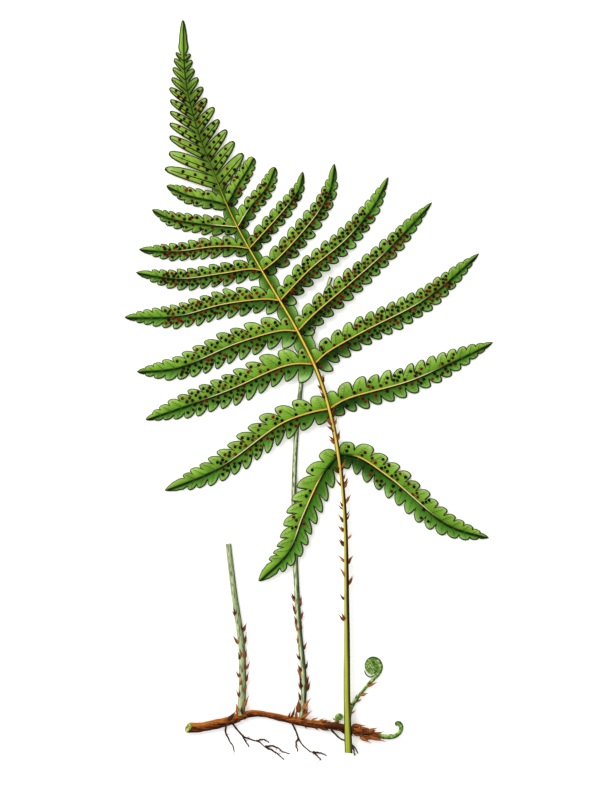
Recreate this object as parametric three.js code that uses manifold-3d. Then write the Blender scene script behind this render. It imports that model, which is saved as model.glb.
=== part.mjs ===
// Long beech fern, Phegopteris connectilis, laid flat with its underside and its sori up.
// Millimetres, +Z up. The origin lies on the surface, under the middle of the specimen, and +Y runs
// up the frond. A cut fertile frond lies across the creeping rhizome, which carries two cut stipes,
// three croziers and the roots.
import * as THREE from 'three';
import Module from 'manifold-3d';
import { mergeVertices } from 'three/addons/utils/BufferGeometryUtils.js';

const wasm = await Module();
wasm.setup();

const { degToRad, lerp, clamp, smoothstep } = THREE.MathUtils;

// Driving dimensions of the lamina
const bladeThickness = 0.8;
const archRise = 1.3;       // a midrib stands this far above the edges of its pinna
const clearGap = 0.3;       // between two pieces that lie on each other
const lobeReach = 0.47;     // the share of the half width that is cut into lobes
const lobeLean = 60;        // degrees between a lobe and its midrib
const lobedShare = 0.84;    // the rest of a pinna is its narrow, whole tip
const wingHalfWidth = 0.75; // the lamina's strip along the rachis, under it
const sorusRadius = 0.75;
const sorusHeight = 0.6;
const sorusPlace = 0.72;    // how far out on a lobe its sorus sits, as a share of the half width

// Driving dimensions of the stems
const stipeFootRadius = 1.45;
const stipeHeadRadius = 0.95;
const rachisEndRadius = 0.32;
const bladeFoot = -25.6;    // where the lowest pair of pinnae sits
const rachisEnd = 86;       // the rachis is too fine to stand out above this
const drapedBelow = 40;     // pinnae that leave the rachis below this lie over the long stipe
const longStipeRadius = 1.15;
const stubRadius = 1.6;
const rhizomeRadius = 1.9;
const rootRadius = 0.36;

// Colours of the plant
const laminaGreen = 0x5c9a33;
const strawYellow = 0xc9b545;
const rhizomeBrown = 0x8f4e1f;
const greyGreen = 0x93ad87;
const youngGreen = 0x6b9c50;

// A seeded source of random numbers between 0 and 1
function dice(seed) {
  let state = seed;
  return () => {
    state = (state + 0x6d2b79f5) | 0;
    let t = Math.imul(state ^ (state >>> 15), 1 | state);
    t = (t + Math.imul(t ^ (t >>> 7), 61 | t)) ^ t;
    return ((t ^ (t >>> 14)) >>> 0) / 4294967296;
  };
}

// Solids from closed geometries, and back
function solidOf(geometry) {
  const bare = geometry.index ? geometry.toNonIndexed() : geometry.clone();
  bare.deleteAttribute('normal');
  bare.deleteAttribute('uv');
  const merged = mergeVertices(bare, 1e-5);
  return new wasm.Manifold(new wasm.Mesh({
    numProp: 3,
    vertProperties: new Float32Array(merged.attributes.position.array),
    triVerts: new Uint32Array(merged.index.array),
  }));
}

function join(geometries) {
  return geometries.map(solidOf).reduce((whole, piece) => whole.add(piece));
}

function meshOf(name, solid, colour, roughness) {
  const { vertProperties, triVerts } = solid.getMesh();
  const geometry = new THREE.BufferGeometry();
  geometry.setAttribute('position', new THREE.BufferAttribute(vertProperties, 3));
  geometry.setIndex(new THREE.BufferAttribute(triVerts, 1));
  geometry.computeVertexNormals();
  const material = new THREE.MeshStandardMaterial({ color: colour, roughness, metalness: 0 });
  const mesh = new THREE.Mesh(geometry, material);
  mesh.name = name;
  return mesh;
}

function closedGeometry(points, triangles) {
  const geometry = new THREE.BufferGeometry();
  geometry.setAttribute('position', new THREE.Float32BufferAttribute(points.flat(), 3));
  geometry.setIndex(triangles.flat());
  return geometry;
}

// A smooth line on the surface through a few places
function course(places) {
  return new THREE.CatmullRomCurve3(places.map(([x, y]) => new THREE.Vector3(x, y, 0)));
}

// The stem lines of the plant, seen from above
const rachisLine = course([
  [15.7, -144.5], [15.1, -124], [15, -92], [14.2, -49], [11, -21.3], [4.4, 4.3], [-4.6, 23.5],
  [-17.8, 45.9], [-28.6, 65.1], [-36, 81.5], [-44, 101.9], [-49.4, 123.9], [-50.4, 147.9],
]);
const longStipeLine = course([
  [-2.8, -131], [-2, -117.7], [-4, -94.5], [-5.4, -68.5], [-5.9, -35], [-3.6, -1.7], [-0.8, 15.1],
  [4, 31], [8.8, 45],
]);
const stubLine = course([
  [-27.4, -131], [-26.6, -120], [-26.8, -103], [-28.5, -90.4], [-30, -80.3], [-32.2, -61.5],
]);
const rhizomeLine = course([
  [-48.1, -134.8], [-43.2, -134.7], [-32.4, -132.3], [-24.8, -129.7], [-20.8, -129.3],
  [-10, -131.3], [-0.4, -133.2], [9.8, -134.3], [18.8, -135.5], [27.6, -138],
]);

const longStipeCourse = longStipeLine.getSpacedPoints(90);
const rachisCourse = rachisLine.getSpacedPoints(300);

function rachisAt(y) {
  const next = rachisCourse.findIndex((point) => point.y >= y);
  const low = rachisCourse[next - 1];
  const high = rachisCourse[next];
  return lerp(low.x, high.x, (y - low.y) / (high.y - low.y));
}

// The lamina drapes over the long stipe, where the arch of its pinnae clears the rest of the stipe's
// height, and lies on the surface away from it
function drape(x, y) {
  const liftOverStipe = 1.75 * longStipeRadius;
  const flatReach = 4;
  const slopeReach = 15;
  const away = Math.min(...longStipeCourse.map((point) => Math.hypot(point.x - x, point.y - y)));
  return liftOverStipe * (1 - smoothstep(away, flatReach, flatReach + slopeReach));
}

// The height of a midrib's line above the lamina's edge, falling away at the tips
const archAt = (share) => archRise * (1 - share ** 3);
const bladeTop = (x, y, arch) => bladeThickness + drape(x, y) + arch;

// The lobed pinnae, from the foot of the blade upwards. Each pair leaves the rachis at the height `at`,
// a midrib runs through its places to its tip, and `half` is its greatest half width to the left and to
// the right of it, as seen from the rachis.
const lobedPairs = [
  {
    at: -25.6,
    left: { through: [[5.2, -33.7], [-2.6, -50.3], [-8, -64], [-20.2, -76.6]], half: [6.8, 6.6], lobes: 10 },
    right: { through: [[19.4, -26.6], [32.4, -35.1], [55.4, -53.7], [72, -59.3]], half: [6.2, 7.2], lobes: 14 },
  },
  {
    at: -7.6,
    left: { through: [[1.9, -8.7], [-10.6, -13.2], [-35.6, -30.9], [-57.7, -40.3]], half: [6.8, 6.6], lobes: 12 },
    right: { through: [[14.5, -3.8], [40.4, 3.7], [58.4, 11.7], [73.6, 19]], half: [6.4, 6.2], lobes: 13 },
  },
  {
    at: 10.2,
    left: { through: [[-5, 10.4], [-12, 8.8], [-32.8, -0.4], [-65.4, -12]], half: [6.8, 7], lobes: 13 },
    right: { through: [[6.6, 14.5], [20.2, 22.5], [46.8, 36.6], [68, 54.5]], half: [5.8, 6.2], lobes: 15 },
  },
  {
    at: 23.4,
    left: { through: [[-11.1, 23.6], [-28.7, 18.6], [-52.1, 9], [-68.8, 7.2]], half: [6.8, 6.4], lobes: 12 },
    right: { through: [[1.5, 29.7], [15.2, 41.5], [31, 55.6], [49.2, 75]], half: [5.2, 5.6], lobes: 14 },
  },
  {
    at: 35.6,
    left: { through: [[-17, 36.2], [-34.5, 34.1], [-52, 29.6], [-73.8, 28.9]], half: [6, 5.8], lobes: 13 },
    right: { through: [[0, 47.7], [14.5, 59.9], [25.3, 72.9], [31.8, 85.1]], half: [5.2, 5.4], lobes: 13 },
  },
  {
    at: 47.5,
    left: { through: [[-22.8, 48.2], [-34.5, 46.5], [-52, 44.4], [-69.2, 46.9]], half: [5.2, 4.4], lobes: 12 },
    right: { through: [[-12.2, 52.7], [3.7, 71.1], [8.4, 80.4], [10.2, 90.5]], half: [4.8, 5], lobes: 12 },
  },
  {
    at: 56.4,
    left: { through: [[-30, 57.2], [-38, 57.1], [-54, 55.3], [-68, 56.1]], half: [4.6, 4], lobes: 10 },
    right: { through: [[-19.4, 61.3], [-8.6, 73.6], [-4.2, 80.1], [-2.4, 87.3]], half: [4, 4], lobes: 10 },
  },
  {
    at: 65,
    left: { through: [[-34.5, 65.5], [-46.3, 66.7], [-55.6, 68.6], [-62.8, 72]], half: [4.2, 3.8], lobes: 9 },
    right: { through: [[-24, 72.3], [-17, 80.9], [-13.6, 89]], half: [3.5, 4], lobes: 7 },
  },
  {
    at: 73.9,
    left: { through: [[-36.5, 75.1], [-48.2, 77.7], [-57, 81.6]], half: [3.6, 3.6], lobes: 6 },
    right: { through: [[-28.6, 81.9], [-24.8, 87.9], [-22.2, 92.9]], half: [3.2, 3.4], lobes: 4 },
  },
];

// Above them the simple pinnae are the lobes of the blade's own tip, which ends in a slender leaflet.
// They are longest on the right, and on the left only the lowest is as long.
const tipFoot = 79;
const simplePairs = 12;
const leftReach = 12;
const lowestReach = 4.5;
const rightReach = 11;
const leafletHalf = 2.15;

function midribOf(at, side) {
  return course([[rachisAt(at), at], ...side.through]);
}

// How far a pinna reaches on one side of its midrib, 1 for the left and -1 for the right
function lobedReach(half, share, side) {
  const footShare = 0.82;
  const widening = lerp(footShare, 1, smoothstep(share, 0, 0.2));
  const narrowing = (1 - share ** 3.5) ** 0.85;
  return half[side > 0 ? 0 : 1] * widening * narrowing;
}

// How far the blade's tip reaches: its end leaflet, and the simple pinnae that shorten towards it
function tipReach(share, side) {
  const leaflet = leafletHalf * (1 - share ** 14);
  const left = leftReach * clamp(1 - share / 0.8, 0, 1) + lowestReach * clamp(1 - share / 0.25, 0, 1) ** 2;
  const right = rightReach * (1 - smoothstep(share, 0.05, 0.74));
  return leaflet + (side > 0 ? left : right);
}

// Where the lobes of a pinna part: they narrow towards its tip
const lobeEdge = (index, lobes) => lobedShare * (1 - (1 - index / lobes) ** 1.12);
const tipEdge = (index, lobes) => 0.77 * (1 - (1 - index / lobes) ** 1.3);

// How far forwards a pinna's lobes lean, but for the lowest ones beside the rachis, and those of the tip
const lobeLeanAt = (share) => smoothstep(share, -0.06, 0.12) / Math.tan(degToRad(lobeLean));

function tipLeanAt(share, side) {
  const angle = side > 0 ? lerp(51, 41, smoothstep(share, 0, 0.25)) : lerp(52, 28, share);
  return 1 / Math.tan(degToRad(angle));
}

// A place on a pinna: along its midrib, across to a side, and forwards with the lean of its lobes
function onPinna(pinna, share, side, across) {
  const point = pinna.midrib.getPointAt(share);
  const along = pinna.midrib.getTangentAt(share);
  const reach = pinna.reachAt(share, side) * across;
  const lean = pinna.leanAt(share, side);
  const x = point.x + along.x * reach * lean - along.y * reach * side;
  const y = point.y + along.y * reach * lean + along.x * reach * side;
  return [x, y, bladeTop(x, y, archAt(share) * (1 - across ** 2))];
}

// A flat-cut leaf: an upper face of triangles, the plain face one thickness lower, and walls around
function sheet(top, faces, rim, plainFaces = faces) {
  const count = top.length;
  const bottom = top.map(([x, y, z]) => [x, y, z - bladeThickness]);
  const under = plainFaces.map(([a, b, c]) => [a + count, c + count, b + count]);
  const walls = rim.flatMap((a, i) => {
    const b = rim[(i + 1) % rim.length];
    return [[a, a + count, b], [b, a + count, b + count]];
  });
  return closedGeometry([...top, ...bottom], [...faces, ...under, ...walls]);
}

// A sorus on a lobe: the corners of its foot on the surface and its crown above it
function sorusOn(pinna, share, side) {
  const [x, y, z] = onPinna(pinna, share, side, sorusPlace);
  const along = pinna.midrib.getTangentAt(share);
  const corner = (forward, outward) => [
    x + sorusRadius * (along.x * forward - along.y * outward * side),
    y + sorusRadius * (along.y * forward + along.x * outward * side),
    z,
  ];
  return [corner(-0.87, -0.5), corner(0.87, -0.5), corner(0, 1), [x, y, z + sorusHeight]];
}

// A lobed pinna: on each side of every stretch of midrib a base up to the cuts, and a blunt lobe
function lobedBlade(pinna) {
  const { cutAt, shoulders, tipStations } = pinna;
  const top = [];
  const faces = [];
  const plainFaces = [];
  const put = (place) => top.push(place) - 1;
  const edges = Array.from({ length: pinna.lobes + 1 }, (_, i) => pinna.edgeAt(i, pinna.lobes));
  const stations = [...edges, ...tipStations];
  const spine = stations.map((share) => put(onPinna(pinna, share, 1, 0)));
  const apex = put(onPinna(pinna, 1, 1, 0));
  const rims = [1, -1].map((side) => {
    const upperFace = (a, b, c) => faces.push(side > 0 ? [a, b, c] : [a, c, b]);
    const plainFace = (a, b, c) => plainFaces.push(side > 0 ? [a, b, c] : [a, c, b]);
    const face = (a, b, c) => {
      upperFace(a, b, c);
      plainFace(a, b, c);
    };
    const rim = [];
    const outer = stations.map((share, i) => {
      const across = i < edges.length ? cutAt(share) : 1;
      return put(onPinna(pinna, share, side, across));
    });
    outer.forEach((notch, i) => {
      rim.push(notch);
      const ahead = outer[i + 1];
      if (ahead === undefined) {
        face(spine[i], apex, notch);
        return;
      }
      face(spine[i], spine[i + 1], ahead);
      face(spine[i], ahead, notch);
      if (i >= pinna.lobes) return;
      const [heel, crown, toe] = shoulders.map(([forward, across]) =>
        put(onPinna(pinna, lerp(stations[i], stations[i + 1], forward), side, across)));
      rim.push(heel, crown, toe);
      plainFace(notch, ahead, toe);
      plainFace(notch, toe, heel);
      plainFace(heel, toe, crown);
      if (i === 0 || i > pinna.lobes - 3) {
        upperFace(notch, ahead, toe);
        upperFace(notch, toe, heel);
        upperFace(heel, toe, crown);
        return;
      }
      const sorusShare = lerp(stations[i], stations[i + 1], 0.58);
      const [back, front, outside, peak] = sorusOn(pinna, sorusShare, side).map(put);
      const around = [notch, ahead, toe, crown, heel];
      const nearest = [back, front, front, outside, outside];
      around.forEach((corner, k) => {
        const following = (k + 1) % around.length;
        upperFace(corner, around[following], nearest[following]);
        if (nearest[k] !== nearest[following]) upperFace(corner, nearest[following], nearest[k]);
      });
      upperFace(back, front, peak);
      upperFace(front, outside, peak);
      upperFace(outside, back, peak);
    });
    return rim;
  });
  const outline = [spine[0], ...rims[1], apex, ...rims[0].reverse()];
  return sheet(top, faces, outline, plainFaces);
}

// A tapering stem along a line: upright rings of flat-bottomed section, closed at both ends
function stem(line, radiusAt, heightAt, sides, steps, from = 0, to = 1) {
  const points = [];
  const triangles = [];
  for (let step = 0; step <= steps; step += 1) {
    const share = lerp(from, to, step / steps);
    const middle = line.getPointAt(share);
    const along = line.getTangentAt(share);
    const radius = radiusAt(share, middle);
    const foot = heightAt(share, middle);
    for (let k = 0; k < sides; k += 1) {
      const turn = (2 * Math.PI * (k + 0.5)) / sides - Math.PI / 2;
      const reach = radius * Math.cos(turn);
      points.push([
        middle.x + along.y * reach,
        middle.y - along.x * reach,
        foot + radius * (Math.cos(Math.PI / sides) + Math.sin(turn)),
      ]);
    }
  }
  const at = (step, k) => step * sides + (k % sides);
  for (let step = 0; step < steps; step += 1) {
    for (let k = 0; k < sides; k += 1) {
      triangles.push([at(step, k), at(step + 1, k), at(step, k + 1)]);
      triangles.push([at(step, k + 1), at(step + 1, k), at(step + 1, k + 1)]);
    }
  }
  for (let k = 1; k < sides - 1; k += 1) {
    triangles.push([at(0, 0), at(0, k), at(0, k + 1)]);
    triangles.push([at(steps, 0), at(steps, k + 1), at(steps, k)]);
  }
  return closedGeometry(points, triangles);
}

const onSurface = () => 0;

// A papery scale: a flat spike, its root inside the stem, at a heading and a rise in degrees
function scaleSpike(x, y, z, heading, rise, length, width = 1.1) {
  const thickness = 0.6;
  const spike = new THREE.ConeGeometry(0.58, length, 3);
  spike.scale(width, 1, thickness);
  spike.translate(0, length / 2, 0);
  spike.rotateZ(-Math.PI / 2);
  spike.rotateY(-degToRad(rise));
  spike.rotateZ(degToRad(heading));
  spike.translate(x, y, z);
  return spike;
}

// The green blade: the lobed pinnae, the blade's tip and the strip that joins them
const lobedShape = {
  leanAt: lobeLeanAt,
  edgeAt: lobeEdge,
  cutAt: (share) => lerp(1 - lobeReach, 0.8, share ** 3),
  shoulders: [[0.18, 0.86], [0.58, 1], [0.9, 0.88]],
  tipStations: [0.9, 0.96],
};

const tipShape = {
  leanAt: tipLeanAt,
  edgeAt: tipEdge,
  cutAt: (share) => lerp(0.2, 0.75, smoothstep(share, 0.2, 0.8)),
  shoulders: [[0.08, 0.86], [0.42, 1], [0.76, 0.93]],
  tipStations: [0.86, 0.94],
  reachAt: tipReach,
};

function frondBlade() {
  const pinnae = lobedPairs.flatMap(({ at, left, right }) => [left, right].map(({ half, lobes, through }) => ({
    ...lobedShape,
    lobes,
    midrib: midribOf(at, { through }),
    reachAt: (share, side) => lobedReach(half, share, side),
  })));
  const tipLine = new THREE.CatmullRomCurve3(rachisCourse.filter((point) => point.y > tipFoot));
  const wing = rachisCourse.filter(({ y }, i) => y > bladeFoot - 3 && y < tipFoot + 5 && i % 5 === 0);
  return join([
    ...pinnae.map(lobedBlade),
    lobedBlade({ ...tipShape, lobes: simplePairs, midrib: tipLine }),
    wingStrip(new THREE.CatmullRomCurve3(wing)),
  ]);
}

// The strip of lamina that runs along the rachis and joins the pinnae
function wingStrip(line) {
  const steps = 22;
  const sunk = 0.25;
  const top = [];
  const faces = [];
  for (let step = 0; step <= steps; step += 1) {
    const middle = line.getPointAt(step / steps);
    const along = line.getTangentAt(step / steps);
    for (const side of [1, -1]) {
      const x = middle.x - along.y * wingHalfWidth * side;
      const y = middle.y + along.x * wingHalfWidth * side;
      top.push([x, y, bladeTop(middle.x, middle.y, archRise) - sunk]);
    }
  }
  for (let step = 0; step < steps; step += 1) {
    const [left, right, nextLeft, nextRight] = [0, 1, 2, 3].map((k) => 2 * step + k);
    faces.push([left, right, nextRight], [left, nextRight, nextLeft]);
  }
  const rights = Array.from({ length: steps + 1 }, (_, i) => 2 * i + 1);
  const lefts = Array.from({ length: steps + 1 }, (_, i) => 2 * i);
  return sheet(top, faces, [...rights, ...lefts.reverse()]);
}

// The straw-coloured stipe, rachis and midribs. The stipe rises over the thin part of the rhizome.
function stalkFoot(y, x) {
  const overBlade = bladeTop(x, y, archRise) + clearGap;
  const overRhizome = 1.75 * rhizomeRadius + clearGap;
  return lerp(overBlade, overRhizome, smoothstep(-y, -bladeFoot, 134));
}

function stalkRadius(y) {
  if (y < bladeFoot) {
    return lerp(stipeFootRadius, stipeHeadRadius, (y + 144.5) / (bladeFoot + 144.5));
  }
  return lerp(stipeHeadRadius, rachisEndRadius, (y - bladeFoot) / (rachisEnd - bladeFoot));
}

function frondStalk() {
  const whole = rachisCourse[rachisCourse.length - 1].y - rachisCourse[0].y;
  const endShare = (rachisEnd - rachisCourse[0].y) / whole;
  const radius = (share, middle) => stalkRadius(middle.y);
  const foot = (share, middle) => stalkFoot(middle.y, middle.x);
  const pieces = [stem(rachisLine, radius, foot, 6, 34, 0, endShare)];
  for (const { at, left, right } of lobedPairs) {
    for (const side of [left, right]) {
      pieces.push(midribRidge({ ...side, midrib: midribOf(at, side), draped: at < drapedBelow }));
    }
  }
  const random = dice(11);
  const scaleCount = 36;
  for (let i = 0; i < scaleCount; i += 1) {
    const y = lerp(-94, 20, i / scaleCount);
    const x = rachisAt(y);
    const side = random() < 0.5 ? -1 : 1;
    const slope = Math.atan2(10, rachisAt(y + 10) - x) * (180 / Math.PI);
    const heading = slope - side * lerp(14, 34, random());
    const z = stalkFoot(y, x) + stalkRadius(y) * 0.95;
    const length = lerp(3.2, 4.8, random());
    pieces.push(scaleSpike(x + side * stalkRadius(y) * 0.4, y, z, heading, lerp(2, 14, random()), length));
  }
  return join(pieces);
}

// A three-sided ridge along the midrib of a pinna, fading out before its tip
function midribRidge(pinna) {
  const steps = pinna.draped ? pinna.lobes : Math.ceil(pinna.lobes / 2);
  const width = 0.6;
  const height = 0.9;
  const points = [];
  const triangles = [];
  for (let step = 0; step <= steps; step += 1) {
    const share = lobeEdge((step / steps) * pinna.lobes, pinna.lobes);
    const middle = pinna.midrib.getPointAt(share);
    const along = pinna.midrib.getTangentAt(share);
    const taper = lerp(1, 0.55, step / steps) * clamp(pinna.half[0] / 5, 0.7, 1);
    const foot = bladeTop(middle.x, middle.y, archAt(share)) + clearGap + 0.05;
    points.push([middle.x - along.y * width * taper, middle.y + along.x * width * taper, foot]);
    points.push([middle.x + along.y * width * taper, middle.y - along.x * width * taper, foot]);
    points.push([middle.x, middle.y, foot + height * taper]);
  }
  for (let step = 0; step < steps; step += 1) {
    const [left, right, crest] = [3 * step, 3 * step + 1, 3 * step + 2];
    triangles.push([left, left + 3, right + 3], [left, right + 3, right]);
    triangles.push([right, right + 3, crest + 3], [right, crest + 3, crest]);
    triangles.push([crest, crest + 3, left + 3], [crest, left + 3, left]);
  }
  const end = 3 * steps;
  triangles.push([0, 1, 2], [end, end + 2, end + 1]);
  return closedGeometry(points, triangles);
}

// The creeping rhizome: thick and cut at the left, waisted, and scaly at its growing end
function rhizomeRadiusAt(share) {
  const waistDepth = 0.6;
  const waist = Math.exp(-(((share - 0.4) / 0.13) ** 2));
  return rhizomeRadius * (1 - 0.1 * share) - waistDepth * waist;
}

function root(places) {
  const start = places.length > 3 ? 1.1 : 1;
  const radius = (share) => rootRadius * lerp(start, 0.85, share);
  return stem(course(places), radius, onSurface, 4, 2 * (places.length - 1));
}

function rhizome() {
  const pieces = [stem(rhizomeLine, rhizomeRadiusAt, onSurface, 8, 26)];
  pieces.push(root([[-33.2, -133], [-33.2, -137.3], [-32, -139.9], [-30.8, -141.9], [-29.7, -144.7]]));
  pieces.push(root([[-31.4, -132.4], [-28, -136.7], [-25.6, -139], [-20.4, -140.7], [-17, -143.1]]));
  pieces.push(root([[-26.6, -138.2], [-25.4, -140.5], [-23.8, -142.9]]));
  pieces.push(root([[-21, -140.5], [-18.6, -139.8], [-15.8, -141.1]]));
  pieces.push(root([[-17.6, -142.7], [-15.2, -142.4], [-12.6, -143.1], [-10.6, -144.7], [-7.8, -145.5]]));
  pieces.push(root([[-17.4, -142.8], [-13.8, -144.7], [-12, -146.1], [-10, -147.9]]));
  pieces.push(root([[-7.4, -132.2], [-5.2, -136.5], [-4.1, -139.7], [-0.4, -144.1], [2.2, -145.1]]));
  pieces.push(root([[-4.2, -139.2], [-5.2, -141.5], [-4.4, -144.7]]));
  pieces.push(root([[1.8, -144.9], [4.8, -145.3], [7.2, -146.3]]));
  pieces.push(root([[1.6, -144.8], [3.4, -146.5], [5, -148.1]]));
  pieces.push(root([[8, -134.4], [10.4, -137.7], [14.4, -140.5], [17.2, -141.9], [19.8, -145.5]]));
  pieces.push(root([[17, -141.6], [17.8, -143.6], [18.2, -146.3]]));
  const random = dice(5);
  const scales = [
    [-30.6, 104], [-24, 78], [-22.6, 40], [-6.4, 112], [-5.2, 88], [-0.2, 72], [1.6, 50], [4, 34],
    [7.4, 44], [2, -38], [12, -36], [19.4, 42], [20.6, -30], [22, 26], [23.8, 12], [25, 26], [24, -64],
  ];
  for (const [x, heading] of scales) {
    const place = rhizomeLine.getSpacedPoints(120).find((point) => point.x >= x);
    const height = rhizomeRadiusAt((x + 48) / 76);
    const length = lerp(4, 5.6, random());
    pieces.push(scaleSpike(place.x, place.y, height * lerp(0.9, 1.3, random()), heading, 8, length, 1.5));
  }
  return join(pieces);
}

// The rhizome's own outline grown by the clear gap, which trims what stands on it
function rhizomeSleeve() {
  const grown = (share) => rhizomeRadiusAt(share) + clearGap + 0.1;
  return solidOf(stem(rhizomeLine, grown, () => -clearGap, 8, 26));
}

// A cut grey-green stipe that lies on the surface, with scales along its lower part
function stipe(line, footRadius, headRadius, steps, scaleCount, scaledShare, seed) {
  const radius = (share) => lerp(footRadius, headRadius, share ** 0.7);
  const random = dice(seed);
  const pieces = [stem(line, radius, onSurface, 6, steps)];
  for (let i = 0; i < scaleCount; i += 1) {
    const share = lerp(0.04, scaledShare, i / scaleCount);
    const middle = line.getPointAt(share);
    const along = line.getTangentAt(share);
    const side = i % 2 ? 1 : -1;
    const slope = Math.atan2(along.y, along.x) * (180 / Math.PI);
    const heading = slope + side * lerp(14, 34, random());
    const reach = -side * radius(share) * 0.4;
    const x = middle.x + along.y * reach;
    const y = middle.y - along.x * reach;
    const length = lerp(3.6, 5, random());
    pieces.push(scaleSpike(x, y, radius(share), heading, lerp(0, 10, random()), length));
  }
  return join(pieces).subtract(rhizomeSleeve());
}

// The places of a coil that winds inwards from a start angle, in degrees
function coilPlaces(centre, outer, inner, startAngle, turns) {
  const count = Math.round(turns * 8);
  return Array.from({ length: count + 1 }, (_, i) => {
    const turn = degToRad(startAngle + (i / count) * turns * 360);
    const reach = lerp(outer, inner, i / count);
    return [centre[0] + reach * Math.cos(turn), centre[1] + reach * Math.sin(turn)];
  });
}

// A young frond: a stalk that ends in a coil, with a few scales on it
function crozier(places, footRadius, headRadius, steps, scales) {
  const radius = (share) => lerp(footRadius, headRadius, share ** 2);
  const pieces = [stem(course(places), radius, onSurface, 6, steps)];
  for (const [x, y, heading, length] of scales) {
    pieces.push(scaleSpike(x, y, footRadius, heading, 6, length));
  }
  return join(pieces).subtract(rhizomeSleeve());
}

// The lines of the three young fronds, and on the first two the scales: place, heading and length
const tallCrozier = [
  [15.4, -132.7], [16.4, -126.1], [19.4, -122.9], [23.2, -118.5], [26.2, -115.4], [28, -112.9],
  ...coilPlaces([25.3, -110.8], 3.2, 0.35, 0, 1.75),
];
const tallScales = [
  [17.2, -125, 62, 3.4], [19.8, -122.2, 20, 3.2], [21.6, -120.2, 76, 3], [24.6, -117.2, 12, 3.2],
];

const budCrozier = [
  [11.5, -133.4], [11, -131], [11.2, -129.2], [12.2, -128.5], [13, -129.3], [12.8, -130.4],
];
const budScales = [[11, -129.6, 108, 2.6], [12.2, -128.8, 66, 2.6]];

const tipCrozier = [
  [28, -138.2], [30, -138.9], [32.6, -139.2], [35.4, -138.7], [37.4, -136.7], [37.4, -134.5],
  [36, -133.2], [34.6, -133.8], [34.9, -134.9],
];

const fern = new THREE.Group();
fern.add(
  meshOf('frond_blade', frondBlade(), laminaGreen, 0.6),
  meshOf('frond_stalk', frondStalk(), strawYellow, 0.55),
  meshOf('rhizome', rhizome(), rhizomeBrown, 0.85),
  meshOf('stipe_long', stipe(longStipeLine, longStipeRadius, 0.75, 28, 18, 0.27, 3), greyGreen, 0.6),
  meshOf('stipe_stub', stipe(stubLine, stubRadius, 1.1, 14, 11, 0.5, 4), greyGreen, 0.6),
  meshOf('crozier_tall', crozier(tallCrozier, 0.9, 0.5, 34, tallScales), youngGreen, 0.6),
  meshOf('crozier_bud', crozier(budCrozier, 0.75, 0.7, 10, budScales), youngGreen, 0.6),
  meshOf('crozier_tip', crozier(tipCrozier, 0.85, 0.7, 18, []), youngGreen, 0.6),
);

export default fern;
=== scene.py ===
# Long beech fern: the fine leaves, sori, stems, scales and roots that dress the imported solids.
# Sizes and places are millimetres here and become metres where a mesh is made.
import math

import bpy
import numpy as np
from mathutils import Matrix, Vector


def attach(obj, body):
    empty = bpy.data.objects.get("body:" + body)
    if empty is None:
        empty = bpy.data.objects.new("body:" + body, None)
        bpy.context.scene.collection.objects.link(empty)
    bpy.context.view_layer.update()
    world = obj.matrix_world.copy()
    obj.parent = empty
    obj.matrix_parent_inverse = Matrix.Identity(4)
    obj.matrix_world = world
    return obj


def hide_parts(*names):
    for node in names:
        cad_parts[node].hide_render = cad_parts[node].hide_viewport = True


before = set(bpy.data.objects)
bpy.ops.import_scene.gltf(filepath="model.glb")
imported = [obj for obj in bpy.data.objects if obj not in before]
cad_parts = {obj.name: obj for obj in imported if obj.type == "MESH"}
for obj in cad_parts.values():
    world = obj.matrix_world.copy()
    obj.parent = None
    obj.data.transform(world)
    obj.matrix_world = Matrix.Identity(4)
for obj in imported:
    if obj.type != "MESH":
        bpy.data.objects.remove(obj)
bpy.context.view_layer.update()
mm = 0.001

# Camera, light and floor
studio = {
    "pixelSize": 0.4,  # millimetres that one pixel of the photograph covers
    "photoSize": (600, 800),
    "originPixel": (309, 389.75),
    "lens": 100,
    "sensor": 36,
    "farthest": 10,  # metres that the camera sees
    "floorSide": 1600,
    "floorDrop": 0.1,  # how far the sheet is below the specimen
    "floorColour": "f7f6f2",
    "floorGlow": 0.3,  # light that comes up through the sheet, so that the shadows on it are faint
    "skyStrength": 0.84,
    "keyPlace": (-520, 560, 900),
    "keySide": 520,
    "keyPower": 6.6,
}


# A colour from its sRGB code, as the linear values that the nodes take
def linearColour(hexCode):
    parts = [int(hexCode[i:i + 2], 16) / 255 for i in (0, 2, 4)]
    return [p / 12.92 if p <= 0.04045 else ((p + 0.055) / 1.055) ** 2.4 for p in parts] + [1.0]


# A node with its settings, its fixed values, what feeds it, and the stops of its ramp
def addNode(tree, kind, settings=None, values=None, links=None, stops=()):
    node = tree.nodes.new(kind)
    for name, value in (settings or {}).items():
        setattr(node, name, value)
    for name, value in (values or {}).items():
        node.inputs[name].default_value = value
    for name, source in (links or {}).items():
        tree.links.new(source, node.inputs[name])
    for k, (position, hexCode) in enumerate(stops):
        elements = node.color_ramp.elements
        element = elements[k] if k < 2 else elements.new(position)
        element.position = position
        element.color = linearColour(hexCode)
    return node


def newMaterial(name, roughness, ior, **uniform):
    material = bpy.data.materials.new(name)
    material.use_nodes = True
    shader = material.node_tree.nodes["Principled BSDF"]
    shader.inputs["Roughness"].default_value = roughness
    shader.inputs["IOR"].default_value = ior
    for label, value in uniform.items():
        shader.inputs[label.replace("_", " ")].default_value = value
    return material, material.node_tree, shader


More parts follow.
